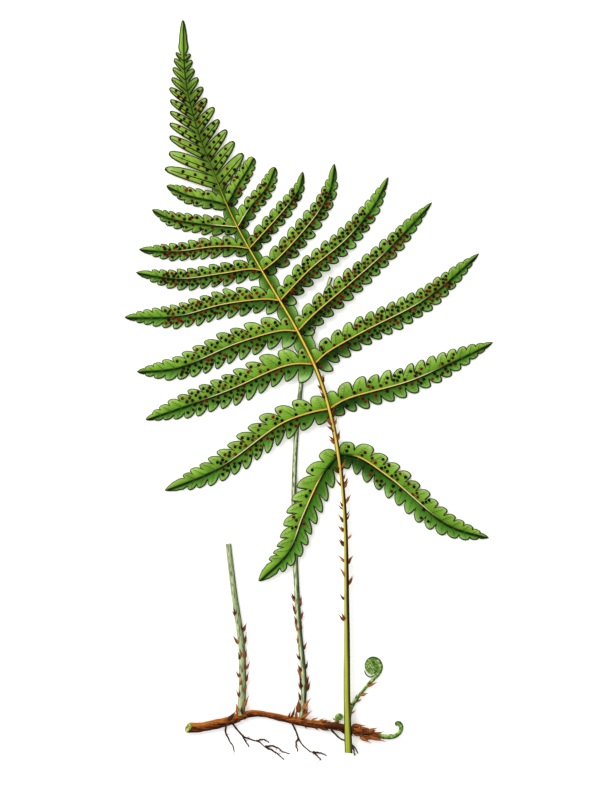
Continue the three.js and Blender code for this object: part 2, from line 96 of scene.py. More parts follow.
def makeStudio():
    width, height = studio["photoSize"]
    size = studio["pixelSize"]
    middleX = (width / 2 - studio["originPixel"][0]) * size
    middleY = (studio["originPixel"][1] - height / 2) * size
    distance = height * size * studio["lens"] / studio["sensor"]
    camera = bpy.data.objects.new("camera", bpy.data.cameras.new("camera"))
    camera.data.lens = studio["lens"]
    camera.data.sensor_width = studio["sensor"]
    camera.location = Vector((middleX, middleY, distance)) * mm
    camera.data.clip_end = studio["farthest"]
    bpy.context.scene.collection.objects.link(camera)
    bpy.context.scene.camera = camera

    half, low = studio["floorSide"] / 2, -studio["floorDrop"]
    floorMesh = bpy.data.meshes.new("floor")
    corners = [(-half, -half, low), (half, -half, low), (half, half, low), (-half, half, low)]
    floorMesh.from_pydata([Vector(c) * mm for c in corners], [], [(0, 1, 2, 3)])
    floor = bpy.data.objects.new("floor", floorMesh)
    bpy.context.scene.collection.objects.link(floor)
    # Opal sheet, matt and lit a little from below, so that the plant throws hardly any shadow on it
    opal, _, shader = newMaterial("opalSheet", 0.9, 1.45, Emission_Strength=studio["floorGlow"])
    shader.inputs["Base Color"].default_value = linearColour(studio["floorColour"])
    shader.inputs["Emission Color"].default_value = (1, 1, 1, 1)
    floorMesh.materials.append(opal)

    key = bpy.data.objects.new("keyLight", bpy.data.lights.new("keyLight", "AREA"))
    key.data.size = studio["keySide"] * mm
    key.data.energy = studio["keyPower"]
    key.location = Vector(studio["keyPlace"]) * mm
    key.rotation_euler = (-key.location).to_track_quat("-Z", "Y").to_euler()
    bpy.context.scene.collection.objects.link(key)

    sky = bpy.data.worlds.new("softSky")
    sky.use_nodes = True
    background = sky.node_tree.nodes["Background"]
    background.inputs["Color"].default_value = (1, 1, 1, 1)
    background.inputs["Strength"].default_value = studio["skyStrength"]
    bpy.context.scene.world = sky
    bpy.context.scene.view_settings.view_transform = "Standard"


makeStudio()
print("studio made")


# Curves, ramps and meshes that several pieces share
def lengthsAlong(line):
    return np.concatenate([[0], np.cumsum(np.linalg.norm(np.diff(line, axis=0), axis=1))])


# Places at some stops of a table of places, whose own stops are known
def placesAt(stops, ownStops, table):
    return np.stack([np.interp(stops, ownStops, table[:, k]) for k in range(table.shape[1])], axis=-1)


# A smooth line through places, in even steps; it doesn't swing out where they are close together
def smoothLine(places, count):
    spanSteps = 24
    knots = np.array(places, float)
    ends = np.vstack([2 * knots[0] - knots[1], knots, 2 * knots[-1] - knots[-2]])
    step = np.linspace(0, 1, spanSteps, endpoint=False)[:, None]
    fine = []
    for a, b, c, d in zip(ends, ends[1:], ends[2:], ends[3:]):
        ab, bc, cd = [np.linalg.norm(q - p) ** 0.5 for p, q in ((a, b), (b, c), (c, d))]
        leaving = bc * ((b - a) / ab - (c - a) / (ab + bc) + (c - b) / bc)
        coming = bc * ((c - b) / bc - (d - b) / (bc + cd) + (d - c) / cd)
        square = 3 * (c - b) - 2 * leaving - coming
        cube = 2 * (b - c) + leaving + coming
        fine.append(b + leaving * step + square * step ** 2 + cube * step ** 3)
    fine = np.vstack(fine + [knots[-1:]])
    gone = lengthsAlong(fine)
    return placesAt(np.linspace(0, gone[-1], count), gone, fine)


def headings(line):
    ahead = np.gradient(line, axis=0)
    return ahead / np.linalg.norm(ahead, axis=1)[:, None]


# The columns of a table at a share of its length, and the share at which a line has a height
def atShare(table, share):
    return np.moveaxis(placesAt(share, np.linspace(0, 1, len(table)), table), -1, 0)


def shareAtHeight(line, height):
    return float(np.interp(height, line[:, 1], np.linspace(0, 1, len(line))))


# From 0 below the low value to 1 above the high one, with soft ends
def ease(x, low, high):
    t = np.clip((np.asarray(x, float) - low) / (high - low), 0, 1)
    return t * t * (3 - 2 * t)


def mix(a, b, t):
    return a + (b - a) * t


# Slow swells over the plant, from a few waves that cross, between about -1 and 1
def swell(x, y, size):
    waves = ((1.0, 0.31, 0.0), (-0.42, 0.93, 1.7), (0.71, -0.8, 4.1))
    return sum(np.sin((a * x + b * y) * 2 * math.pi / size + c) for a, b, c in waves) / 3


def meshPiece(name, points, faces, facts=None, edges=()):
    mesh = bpy.data.meshes.new(name)
    mesh.from_pydata((np.asarray(points, float) * mm).tolist(), list(edges), faces)
    for key, values in (facts or {}).items():
        values = np.asarray(values, float)
        isNumber = values.ndim == 1
        layer = mesh.attributes.new(key, "FLOAT" if isNumber else "FLOAT_VECTOR", "POINT")
        layer.data.foreach_set("value" if isNumber else "vector", values.ravel())
    mesh.polygons.foreach_set("use_smooth", [True] * len(mesh.polygons))
    piece = bpy.data.objects.new(name, mesh)
    bpy.context.scene.collection.objects.link(piece)
    return piece


def finishPiece(piece, material, stoodFor=()):
    if material:
        piece.data.materials.clear()
        piece.data.materials.append(material)
    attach(piece, "root")
    if stoodFor:
        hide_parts(*stoodFor)


def newTree(name, inputs):
    tree = bpy.data.node_groups.new(name, "GeometryNodeTree")
    tree.interface.new_socket("Geometry", in_out="INPUT", socket_type="NodeSocketGeometry")
    tree.interface.new_socket("Geometry", in_out="OUTPUT", socket_type="NodeSocketGeometry")
    for label, kind in inputs:
        tree.interface.new_socket(label, in_out="INPUT", socket_type=kind)
    start = addNode(tree, "NodeGroupInput")
    end = addNode(tree, "NodeGroupOutput")
    return tree, start.outputs, end.inputs


# Both trees end alike: what they made becomes real geometry and gets its finish
def endTree(tree, made, given, result):
    real = addNode(tree, "GeometryNodeRealizeInstances", links={"Geometry": made})
    dressed = addNode(tree, "GeometryNodeSetMaterial", links={
        "Geometry": real.outputs["Geometry"],
        "Material": given["Finish"],
    })
    tree.links.new(dressed.outputs["Geometry"], result["Geometry"])
    return tree


# Round stems along the loose edges of a mesh, whose points say how thick the stem is there
def makeStemTree():
    tree, given, result = newTree("stemsAlongLines", [
        ("Sides", "NodeSocketInt"),
        ("Finish", "NodeSocketMaterial"),
    ])
    lines = addNode(tree, "GeometryNodeMeshToCurve", links={"Mesh": given["Geometry"]})
    girth = addNode(tree, "GeometryNodeInputNamedAttribute", {"data_type": "FLOAT"}, {"Name": "radius"})
    ring = addNode(tree, "GeometryNodeCurvePrimitiveCircle", values={"Radius": 1.0},
                   links={"Resolution": given["Sides"]})
    stems = addNode(tree, "GeometryNodeCurveToMesh", values={"Fill Caps": True}, links={
        "Curve": lines.outputs["Curve"],
        "Profile Curve": ring.outputs["Curve"],
        "Scale": girth.outputs["Attribute"],
    })
    smooth = addNode(tree, "GeometryNodeSetShadeSmooth", links={"Geometry": stems.outputs["Mesh"]})
    return endTree(tree, smooth.outputs["Geometry"], given, result)


# A small form at every point of a mesh, whose points say where its length and its back look, and its size
def makeScatterTree():
    tree, given, result = newTree("formsOnPlaces", [
        ("Form", "NodeSocketObject"),
        ("Finish", "NodeSocketMaterial"),
    ])
    form = addNode(tree, "GeometryNodeObjectInfo", links={"Object": given["Form"]})
    facts = {}
    for name in ("aim", "back", "size"):
        facts[name] = addNode(tree, "GeometryNodeInputNamedAttribute", {"data_type": "FLOAT_VECTOR"},
                              {"Name": name}).outputs["Attribute"]
    upright = addNode(tree, "FunctionNodeAlignRotationToVector", {"axis": "Z"},
                      links={"Vector": facts["back"]})
    turned = addNode(tree, "FunctionNodeAlignRotationToVector", {"axis": "Y", "pivot_axis": "Z"}, links={
        "Rotation": upright.outputs["Rotation"],
        "Vector": facts["aim"],
    })
    placed = addNode(tree, "GeometryNodeInstanceOnPoints", links={
        "Points": given["Geometry"],
        "Instance": form.outputs["Geometry"],
        "Rotation": turned.outputs["Rotation"],
        "Scale": facts["size"],
    })
    return endTree(tree, placed.outputs["Instances"], given, result)


stemTree = makeStemTree()
scatterTree = makeScatterTree()


def grow(piece, tree, values):
    modifier = piece.modifiers.new(tree.name, "NODES")
    modifier.node_group = tree
    for socket in tree.interface.items_tree:
        if socket.in_out == "INPUT" and socket.name in values:
            modifier[socket.identifier] = values[socket.name]
    depsgraph = bpy.context.evaluated_depsgraph_get()
    evaluated = piece.evaluated_get(depsgraph)
    grown = bpy.data.meshes.new_from_object(evaluated, preserve_all_data_layers=True, depsgraph=depsgraph)
    piece.modifiers.clear()
    piece.data = grown
    return piece


# Stems from (line, radii, facts) rows as one piece; a fact is a number for each point of its line
def stemsPiece(name, rows, sides, material):
    points, radii, edges = [], [], []
    facts = {key: [] for key in rows[0][2]}
    start = 0
    for line, girth, own in rows:
        points.append(line)
        radii.append(np.asarray(girth) * mm)
        edges += [(start + i, start + i + 1) for i in range(len(line) - 1)]
        start += len(line)
        for key, values in own.items():
            facts[key].append(values)
    facts = {key: np.concatenate(values) for key, values in facts.items()}
    facts["radius"] = np.concatenate(radii)
    piece = meshPiece(name, np.vstack(points), [], facts, edges)
    return grow(piece, stemTree, {"Sides": sides, "Finish": material})


# Forms from (place, aim, back, size, tone) rows as one piece
def formsPiece(name, rows, form, material):
    places, aims, backs, sizes, tones = (np.array(column, float) for column in zip(*rows))
    facts = {"aim": aims, "back": backs, "size": sizes, "tone": tones}
    piece = meshPiece(name, places, [], facts)
    grow(piece, scatterTree, {"Form": form, "Finish": material})
    piece.data.polygons.foreach_set("use_smooth", [True] * len(piece.data.polygons))
    return piece


# The ends of the stems, in radii: a cut end has a flat face inside a thin rim, and the others are round
stemEnds = {
    "slantLength": 5,  # millimetres over which the slant of a cut fades out
    "slantUp": 0.55,
    "slantAside": -0.42,
    "faceShare": 0.88,
    "faceLift": 0.05,
    "cutBulge": 0.02,
    "roundBulge": 0.3,
    "flatHeight": 0.02,  # millimetres between the surface and a stem that lies on it
}


# A stem with rings of its own, for stems whose skin has ribs, knots or cut ends; a slanted start is cut
# so that its face looks up and to one side
def ringedStem(name, line, radii, sides, relief, cutStart=False, cutEnd=False, slant=0):
    ahead = headings(line)
    aside = np.cross(ahead, (0, 0, 1))
    aside /= np.linalg.norm(aside, axis=1)[:, None]
    above = np.cross(aside, ahead)
    turn = np.linspace(0, 2 * math.pi, sides, endpoint=False)
    share = np.linspace(0, 1, len(line))
    reach = np.asarray(radii)[:, None] * (1 + relief(share[:, None], turn[None, :]))
    points = line[:, None] + reach[..., None] * (
        np.cos(turn)[None, :, None] * aside[:, None] + np.sin(turn)[None, :, None] * above[:, None])
    if slant:
        near = np.clip(1 - lengthsAlong(line) / stemEnds["slantLength"], 0, 1)
        lean = stemEnds["slantUp"] * np.sin(turn) + stemEnds["slantAside"] * np.cos(turn)
        shift = near[:, None] * slant * reach * lean[None, :]
        points = points + shift[..., None] * ahead[:, None]
    points = points.reshape(-1, 3)
    facts = {
        "along": np.repeat(share, sides),
        "aside": np.tile(np.cos(turn), len(line)),
        "cut": np.zeros(len(points)),
    }

    def addPoints(places, row, isCut):
        nonlocal points
        points = np.vstack([points, places])
        for key, value in (("along", share[row]), ("aside", 0.0), ("cut", float(isCut))):
            facts[key] = np.append(facts[key], np.full(len(places), value))

    rows = len(line)
    faces = []
    for i in range(rows - 1):
        for k in range(sides):
            low, high = i * sides, (i + 1) * sides
            following = (k + 1) % sides
            faces.append((low + k, low + following, high + following, high + k))
    for row, isCut, sign in ((0, cutStart, -1), (rows - 1, cutEnd, 1)):
        rim = list(range(row * sides, (row + 1) * sides))
        centre = points[rim].mean(axis=0)
        if isCut:
            first = len(points)
            lift = sign * ahead[row] * radii[row] * stemEnds["faceLift"]
            addPoints(centre + (points[rim] - centre) * stemEnds["faceShare"] + lift, row, True)
            edge = list(range(first, first + sides))
            for k in range(sides):
                band = (rim[k], rim[(k + 1) % sides], edge[(k + 1) % sides], edge[k])
                faces.append(band if sign > 0 else band[::-1])
            rim = edge
        hub = len(points)
        bulge = stemEnds["cutBulge" if isCut else "roundBulge"]
        addPoints([centre + sign * ahead[row] * radii[row] * bulge], row, isCut)
        for k in range(sides):
            wedge = (rim[k], rim[(k + 1) % sides], hub)
            faces.append(wedge if sign > 0 else wedge[::-1])
    # A stem that lies on the surface is flat there
    points[:, 2] = np.maximum(points[:, 2], stemEnds["flatHeight"])
    return meshPiece(name, points, faces, facts)


# The stem lines of the plant, as the solids have them
stems = {
    "rachis": [
        (15.7, -144.5), (15.1, -124), (15, -92), (14.2, -49), (11, -21.3), (4.4, 4.3), (-4.6, 23.5),
        (-17.8, 45.9), (-28.6, 65.1), (-36, 81.5), (-44, 101.9), (-49.4, 123.9), (-50.4, 147.9),
    ],
    "longStipe": [
        (-2.8, -131), (-2, -117.7), (-4, -94.5), (-5.4, -68.5), (-5.9, -35), (-3.6, -1.7), (-0.8, 15.1),
        (4, 31), (8.8, 45),
    ],
    "stub": [(-27.4, -131), (-26.6, -120), (-26.8, -103), (-28.5, -90.4), (-30, -80.3), (-32.2, -61.5)],
    "rhizome": [
        (-48.1, -134.8), (-43.2, -134.7), (-32.4, -132.3), (-24.8, -129.7), (-20.8, -129.3),
        (-10, -131.3), (-0.4, -133.2), (9.8, -134.3), (18.8, -135.5), (27.6, -138),
    ],
    "stipeFootRadius": 1.45,
    "stipeHeadRadius": 0.95,
    "rachisEndRadius": 0.32,
    "longStipeRadius": 1.15,
    "longStipeHeadRadius": 0.75,
    "stubRadius": 1.6,
    "stubHeadRadius": 1.1,
    "rhizomeRadius": 1.9,
    "clearGap": 0.3,
}
rachisLine = smoothLine(stems["rachis"], 401)
longStipeLine = smoothLine(stems["longStipe"], 161)


def rachisAt(y):
    return float(np.interp(y, rachisLine[:, 1], rachisLine[:, 0]))


# The lamina: each pair of pinnae leaves the rachis at the height `at`; the light half of a pinna is the
# one that looks up and to the left of the frond, which its finish paints lit, while the dark half is
# painted in shade; the lobes of the light half are rounder than those of the dark half; `lobed` is how
# much of its length has lobes, `lowestLobe` is how much longer the first lobe of its dark half is, and
# `fertile` is how many of the sori the light and the dark half have and how they thin out
lamina = {
    "top": 0.8,  # height of its upper face above the surface, at its margins
    "thickness": 0.22,
    "archRise": 1.3,
    "drapeRise": 1.75,  # how much it rises over the long stipe, in radii of the stipe
    "drapeWithin": (4, 19),  # how far from the stipe that begins to fall, and where it ends
    "marginCurl": 0.22,
    "curlAcross": (0.25, 0.75),
    "endDip": 0.28,
    "swellHeight": 0.08,
    "swellSize": 9,
    "lineSteps": 201,
    "lobedShare": (0.94, 0.85),  # how much of a pinna is lobed, of the oldest and the youngest ones
    "lobedOrders": (3, 5.5),  # the pairs, from the lowest up, between which that changes
    # How far out the clefts begin, at the foot and at the tip of a pinna, and at the foot of the youngest
    "clefts": (0.47, 0.8, 0.72),
    "cleftOrders": (6, 8.3),
    "cleftSpread": (0.92, 1.08),
    "crownSpread": (0.96, 1.06),
    "crownShift": (-0.03, 0.03),
    "crowding": 1.12,  # above 1, so that the lobes get narrower towards the end
    "leans": {"left": (58, 56), "right": (64, 76)},
    "leanWithin": (-0.05, 0.28),
    "foot": (0.82, 0.2),  # how wide a pinna is at its foot, and where it has its full width
    "pointed": (3.5, 0.85),  # how long it keeps its width and how it closes, when it is pointed
    "blunt": (5, 0.6),  # and when it is blunt, as the youngest on the right are
    "bluntOrders": (6, 7.5),
    "lobeColumns": 12,
    "tipColumns": 18,
    "tipTeeth": 3,
    "toothDepth": {"left": 0.1, "right": 0.1, "tip": 0.06},
    "endSquareness": {"left": 5, "right": 5, "tip": 12},
    "rims": (0, 0.12, 0.28, 0.46, 0.64, 0.8, 0.92, 1),
    "rimFlattens": 0.4,  # inside this share the creases between lobes fade out
    "marginSteps": 6,
    "bladeFoot": -25.6,
    "rachisEnd": 86,
    "profiles": {  # where the lobe's crown is, how square the lobe is, how blunt
        "leftLight": (0.63, 2.5, 0.66),
        "leftDark": (0.64, 2.3, 0.7),
        "rightLight": (0.54, 2.6, 0.6),
        "rightDark": (0.66, 2.2, 0.7),
        "tip": (0.46, 2.6, 0.6),
    },
    "pairs": [
        {
            "at": -25.6,
            "lobed": {"left": 0.82},
            "fertile": {"left": (0.45, 0.22, 1), "right": (0.95, 0.6, 0.3)},
            "left": ([(5.2, -33.7), (-2.6, -50.3), (-8, -64), (-20.2, -76.6)], (6.8, 6.6), 10),
            "right": ([(19.4, -26.6), (32.4, -35.1), (55.4, -53.7), (72, -59.3)], (6.2, 7.2), 13),
        },
        {
            "at": -7.6,
            "lobed": {"left": 0.86},
            "fertile": {"right": (0.75, 0.6, 0.8)},
            "left": ([(1.9, -8.7), (-10.6, -13.2), (-35.6, -30.9), (-57.7, -40.3)], (6.9, 6.7), 12),
            "right": ([(14.5, -3.8), (40.4, 3.7), (58.4, 11.7), (73.6, 19)], (6.5, 6.3), 14),
        },
        {
            "at": 10.2,
            "lowestLobe": 1.42,
            "left": ([(-5, 10.4), (-12, 8.8), (-32.8, -0.4), (-65.4, -12)], (6.9, 7.1), 13),
            "right": ([(6.6, 14.5), (20.2, 22.5), (46.8, 36.6), (68, 54.5)], (5.9, 6.3), 17),
        },
        {
            "at": 23.4,
            "lowestLobe": 1.22,
            "left": ([(-11.1, 23.6), (-28.7, 18.6), (-52.1, 9), (-68.8, 7.2)], (6.9, 6.5), 12),
            "right": ([(1.5, 29.7), (15.2, 41.5), (31, 55.6), (49.2, 75)], (5.3, 5.7), 15),
        },
        {
            "at": 35.6,
            "lowestLobe": 1.2,
            "left": ([(-17, 36.2), (-34.5, 34.1), (-52, 29.6), (-73.8, 28.9)], (6.1, 5.9), 13),
            "right": ([(0, 47.7), (14.5, 59.9), (25.3, 72.9), (31.8, 85.1)], (5.3, 5.5), 14),
        },
        {
            "at": 47.5,
            "left": ([(-22.8, 48.2), (-34.5, 46.5), (-52, 44.4), (-69.2, 46.9)], (5.3, 4.6), 10),
            "right": ([(-12.2, 52.7), (3.7, 71.1), (8.4, 80.4), (10.2, 90.5)], (4.9, 5.1), 10),
        },
        {
            "at": 56.4,
            "left": ([(-30, 57.2), (-38, 57.1), (-54, 55.3), (-68, 56.1)], (4.7, 4.2), 9),
            "right": ([(-19.4, 61.3), (-8.6, 73.6), (-4.2, 80.1), (-2.4, 87.3)], (4.1, 4.1), 8),
        },
        {
            "at": 65,
            "left": ([(-34.5, 65.5), (-46.3, 66.7), (-55.6, 68.6), (-62.8, 72)], (4.3, 4), 8),
            "right": ([(-24, 72.3), (-17, 80.9), (-13.6, 89)], (3.6, 4.1), 7),
        },
        {
            "at": 73.9,
            "left": ([(-36.5, 75.1), (-48.2, 77.7), (-57, 81.6)], (3.8, 3.8), 6),
            "right": ([(-28.6, 81.9), (-24.8, 87.9), (-22.2, 92.9)], (3.4, 3.6), 6),
        },
    ],
}

# The tip of the blade, whose simple pinnae grow together at their feet and end in one long leaflet
tipBlade = {
    "foot": 79,
    "pairs": 11,
    "lobed": 0.785,
    "crowding": 1.25,
    "clefts": (0.12, 0.5),
    "cleftsWithin": (0.35, 0.9),
    # How far the pinnae reach at first, at what share of the tip that has faded out, and how it fades
    "leftReach": (12.2, 0.84, 1),
    "lowestReach": (4.5, 0.25, 2),
    "rightReach": (13, 0.86, 1.15),
    "leafletHalf": 1.95,
    "leafletFoot": 0.8,
    "leafletPowers": (1.6, 0.65),
    "leftLeans": (51, 41),  # degrees between the pinnae and the rachis, of the first and the last
    "rightLeans": (63, 44),
    "leftSettled": 0.25,
}


# The lamina drapes over the long stipe and lies on the surface away from it
def drapeAt(x, y):
    away = np.full(np.shape(x), np.inf)
    for px, py in longStipeLine[::2]:
        away = np.minimum(away, np.hypot(x - px, y - py))
    return lamina["drapeRise"] * stems["longStipeRadius"] * (1 - ease(away, *lamina["drapeWithin"]))


def lobedReach(half, blunt, share, side):
    footWidth, fullFrom = lamina["foot"]
    hold, closing = [mix(a, b, blunt) for a, b in zip(lamina["pointed"], lamina["blunt"])]
    widening = mix(footWidth, 1, ease(share, 0, fullFrom))
    narrowing = (1 - np.clip(share, 0, 1) ** hold) ** closing
    return np.where(side > 0, half[0], half[1]) * widening * narrowing


def fadingReach(reach, end, power, share):
    return reach * np.clip(1 - share / end, 0, 1) ** power


def tipReach(share, side):
    beyond = np.clip((share - tipBlade["leafletFoot"]) / (1 - tipBlade["leafletFoot"]), 0, 1)
    hold, closing = tipBlade["leafletPowers"]
    leaflet = tipBlade["leafletHalf"] * (1 - beyond ** hold) ** closing
    left = fadingReach(*tipBlade["leftReach"], share) + fadingReach(*tipBlade["lowestReach"], share)
    return leaflet + np.where(side > 0, left, fadingReach(*tipBlade["rightReach"], share))


def lobedLean(angles, share, side):
    angle = np.where(side > 0, angles[0], angles[1])
    return ease(share, *lamina["leanWithin"]) / np.tan(np.radians(angle))


def tipLean(share, side):
    left = mix(*tipBlade["leftLeans"], ease(share, 0, tipBlade["leftSettled"]))
    return 1 / np.tan(np.radians(np.where(side > 0, left, mix(*tipBlade["rightLeans"], share))))


# The edges of the lobes, as shares of the pinna's length
def lobeEdges(lobes, lobed, crowding):
    return lobed * (1 - (1 - np.arange(lobes + 1) / lobes) ** crowding)


def makePinnae():
    made = []
    looks = lamina["profiles"]
    near, far, youngNear = lamina["clefts"]
    for order, pair in enumerate(lamina["pairs"]):
        foot = (rachisAt(pair["at"]), pair["at"])
        first = mix(near, youngNear, ease(order, *lamina["cleftOrders"]))
        usual = mix(*lamina["lobedShare"], ease(order, *lamina["lobedOrders"]))
        for hand in ("left", "right"):
            through, half, lobes = pair[hand]
            line = smoothLine([foot, *through], lamina["lineSteps"])
            lobed = pair.get("lobed", {}).get(hand, usual)
            light = -1 if hand == "left" else 1
            blunt = ease(order, *lamina["bluntOrders"]) if hand == "right" else 0
            made.append({
                "hand": hand,
                "order": order,
                "line": line,
                "ahead": headings(line),
                "edges": lobeEdges(lobes, lobed, lamina["crowding"]),
                "lobes": lobes,
                "light": light,
                "reach": lambda share, side, half=half, blunt=blunt: lobedReach(half, blunt, share, side),
                "lean": lambda share, side, hand=hand: lobedLean(lamina["leans"][hand], share, side),
                "cut": lambda share, first=first: mix(first, far, share ** 3),
                "profiles": {light: looks[hand + "Light"], -light: looks[hand + "Dark"]},
                "lowestLobe": pair.get("lowestLobe", 1),
                "fertile": pair.get("fertile", {}).get(hand, (1, 1, 1)),
            })
    line = rachisLine[rachisLine[:, 1] > tipBlade["foot"]]
    lobes = tipBlade["pairs"]
    made.append({
        "hand": "tip",
        "order": len(lamina["pairs"]),
        "line": line,
        "ahead": headings(line),
        "edges": lobeEdges(lobes, tipBlade["lobed"], tipBlade["crowding"]),
        "lobes": lobes,
        "light": 1,
        "reach": tipReach,
        "lean": tipLean,
        "cut": lambda share: mix(*tipBlade["clefts"], ease(share, *tipBlade["cleftsWithin"])),
        "profiles": {1: looks["tip"], -1: looks["tip"]},
        "lowestLobe": 1,
        "fertile": (1, 1, 1),
    })
    return made


# A place on a pinna: along its midrib, out to one side, and how far it is from its lobe's middle
def leafPlace(pinna, share, side, across, lateral):
    px, py = atShare(pinna["line"], share)
    tx, ty = atShare(pinna["ahead"], share)
    reach = pinna["reach"](share, side) * across
    lean = pinna["lean"](share, side)
    x = px + tx * reach * lean - ty * reach * side
    y = py + ty * reach * lean + tx * reach * side
    z = lamina["top"] + drapeAt(x, y) + lamina["archRise"] * (1 - share ** 3) * np.clip(1 - across ** 2, 0, 1)
    z = z - lamina["endDip"] * np.clip(across, 0, 1) ** 4
    z = z - lamina["marginCurl"] * np.abs(lateral) ** 3 * ease(across, *lamina["curlAcross"])
    z = z + lamina["swellHeight"] * swell(x, y, lamina["swellSize"]) * np.clip(across, 0, 1)
    return np.stack([x, y, z], axis=-1)


# The columns of a pinna: where each is along the midrib, and on both sides its place in its lobe and
# its outer end
def leafColumns(pinna, dice):
    edges, lobes = pinna["edges"], pinna["lobes"]
    tipColumns = lamina["tipColumns"]
    toothDepth = lamina["toothDepth"][pinna["hand"]]
    squareness = lamina["endSquareness"][pinna["hand"]]
    columns = {"share": [], "lobe": [], "lateral": {1: [], -1: []}, "ends": {1: [], -1: []}, "cut": []}
    spread = lamina["cleftSpread"]
    cuts = {side: pinna["cut"](edges) * dice.uniform(*spread, lobes + 1) for side in (1, -1)}
    crownReach = {side: dice.uniform(*lamina["crownSpread"], lobes) for side in (1, -1)}
    crownReach[-pinna["light"]][0] *= pinna["lowestLobe"]
    shifts = {side: dice.uniform(*lamina["crownShift"], lobes) for side in (1, -1)}
    for i in range(lobes):
        for k in range(lamina["lobeColumns"]):
            within = 0.5 - 0.5 * math.cos(math.pi * k / lamina["lobeColumns"])
            columns["share"].append(mix(edges[i], edges[i + 1], within))
            columns["lobe"].append(i)
            columns["cut"].append(mix(cuts[1][i], cuts[1][i + 1], within))
            for side in (1, -1):
                crown, fullness, power = pinna["profiles"][side]
                crown += shifts[side][i]
                lateral = (within - crown) / (crown if within < crown else 1 - crown)
                bulge = (1 - abs(lateral) ** fullness) ** power
                cut = mix(cuts[side][i], cuts[side][i + 1], within)
                columns["lateral"][side].append(lateral)
                columns["ends"][side].append(mix(cut, crownReach[side][i], bulge))
    for k in range(tipColumns):
        gone = k / tipColumns
        columns["share"].append(mix(edges[-1], 1, gone))
        columns["lobe"].append(lobes)
        columns["cut"].append(cuts[1][-1])
        tooth = 1 - toothDepth * (1 - gone) * abs(math.cos(math.pi * lamina["tipTeeth"] * gone))
        for side in (1, -1):
            columns["lateral"][side].append(0.0)
            columns["ends"][side].append(mix(cuts[side][-1], 1, 1 - (1 - gone) ** squareness) * tooth)
    for key in ("share", "lobe", "cut"):
        columns[key] = np.array(columns[key])
    for key in ("lateral", "ends"):
        columns[key] = {side: np.array(values) for side, values in columns[key].items()}
    return columns


# Fine points all round the margin of a pinna, and which way the margin looks at each
def marginOf(pinna, columns):
    points, looks = [], []
    for side in (1, -1):
        outer = leafPlace(pinna, columns["share"], side, columns["ends"][side], columns["lateral"][side])
        outer = np.vstack([outer, leafPlace(pinna, np.array([1.0]), side, 0.0, 0.0)])[:, :2]
        stops = np.linspace(0, len(outer) - 1, lamina["marginSteps"] * len(outer))
        fine = placesAt(stops, np.arange(len(outer)), outer)
        along = np.gradient(fine, axis=0)
        along /= np.linalg.norm(along, axis=1)[:, None] + 1e-9
        points.append(fine)
        looks.append(side * np.column_stack([-along[:, 1], along[:, 0]]))
    return np.vstack(points), np.vstack(looks)


# How the painted light and shade, the greens and the dark threads lie on the lamina. A first pair of
# numbers is for the lobed pinnae and a second for the tip of the blade where there are two
leafFinish = {
    # The painted light: which way the painted-lit half of a pinna faces, how far a place must face that way
    # to be fully lit, how lit a place is that faces neither way, and below what facing and over what span the
    # painted shade of the other half comes in
    "lightLooks": (0.5, 0.87),  # how far to the left and up the light half of a pinna looks
    "fullLight": 0.7,
    "lightness": (0.5, 0.8),
    "darkWithin": (0.1, 0.5),
    "young": (0.08, 0.5),  # of the oldest pinnae and of the tip
    "youngOrders": (5, 9),
    # Painted shade near the feet of the pinnae: how strong it is on each hand, and where along, across and
    # out from the rachis it fades
    "shadeStrength": {"left": 0.4, "right": 0.95, "tip": 0.45},
    "shadeAlong": ((0.1, 0.46), (0.6, 0.8)),
    "shadeAcross": (0.3, 1.15),
    "shadeOut": (0.8, 4.5),  # millimetres from the rachis, at the tip of the blade
    # The painted shade in the creases, the painted shadow beside the midrib, and the margin's dark line,
    # which broadens as painted shade where the margin looks to the lower right
    "seams": ((0.4, 0.9), (0.05, 0.4)),  # how far out to its cleft a crease comes in, and is full
    "faintCrease": 0.78,
    "costaScale": (1, 2.2),  # above 1 it makes the thread along the midrib narrower
    "costaClear": 4,  # keeps that thread off the light half
    "outlines": ((0.42, 0.85), (0.6, 1.0)),  # how broad the margin's thread is, lit and shaded
    "shadedLooks": (0.72, -0.69),
    "shadedWithin": (-0.6, 0.7),
    "grainSteps": (2.2, 3.7, 11.3, 5),  # across a lobe, for each lobe, for each pair, for the left hand
    "grainOut": (1.3, 20),
}


# How much a place on a pinna faces up and to the left of the frond, towards the light: more than 0 on
# the half that is painted lit, less on the half that is painted in shade
def paintedLightFacing(pinna, share, side):
    tx, ty = atShare(pinna["ahead"], share)
    toLeft, up = leafFinish["lightLooks"]
    return toLeft * ty * side + up * tx * side


# The faces between rows of as many points; an apex closes the strips of them at their end
def gridFaces(rows, count, apex=None):
    faces = []
    for first in range(0, (rows - 1) * count, count):
        faces += [(k, k + 1, k + count + 1, k + count) for k in range(first, first + count - 1)]
        if apex is not None:
            faces.append((first + count - 1, apex, first + 2 * count - 1))
    return faces


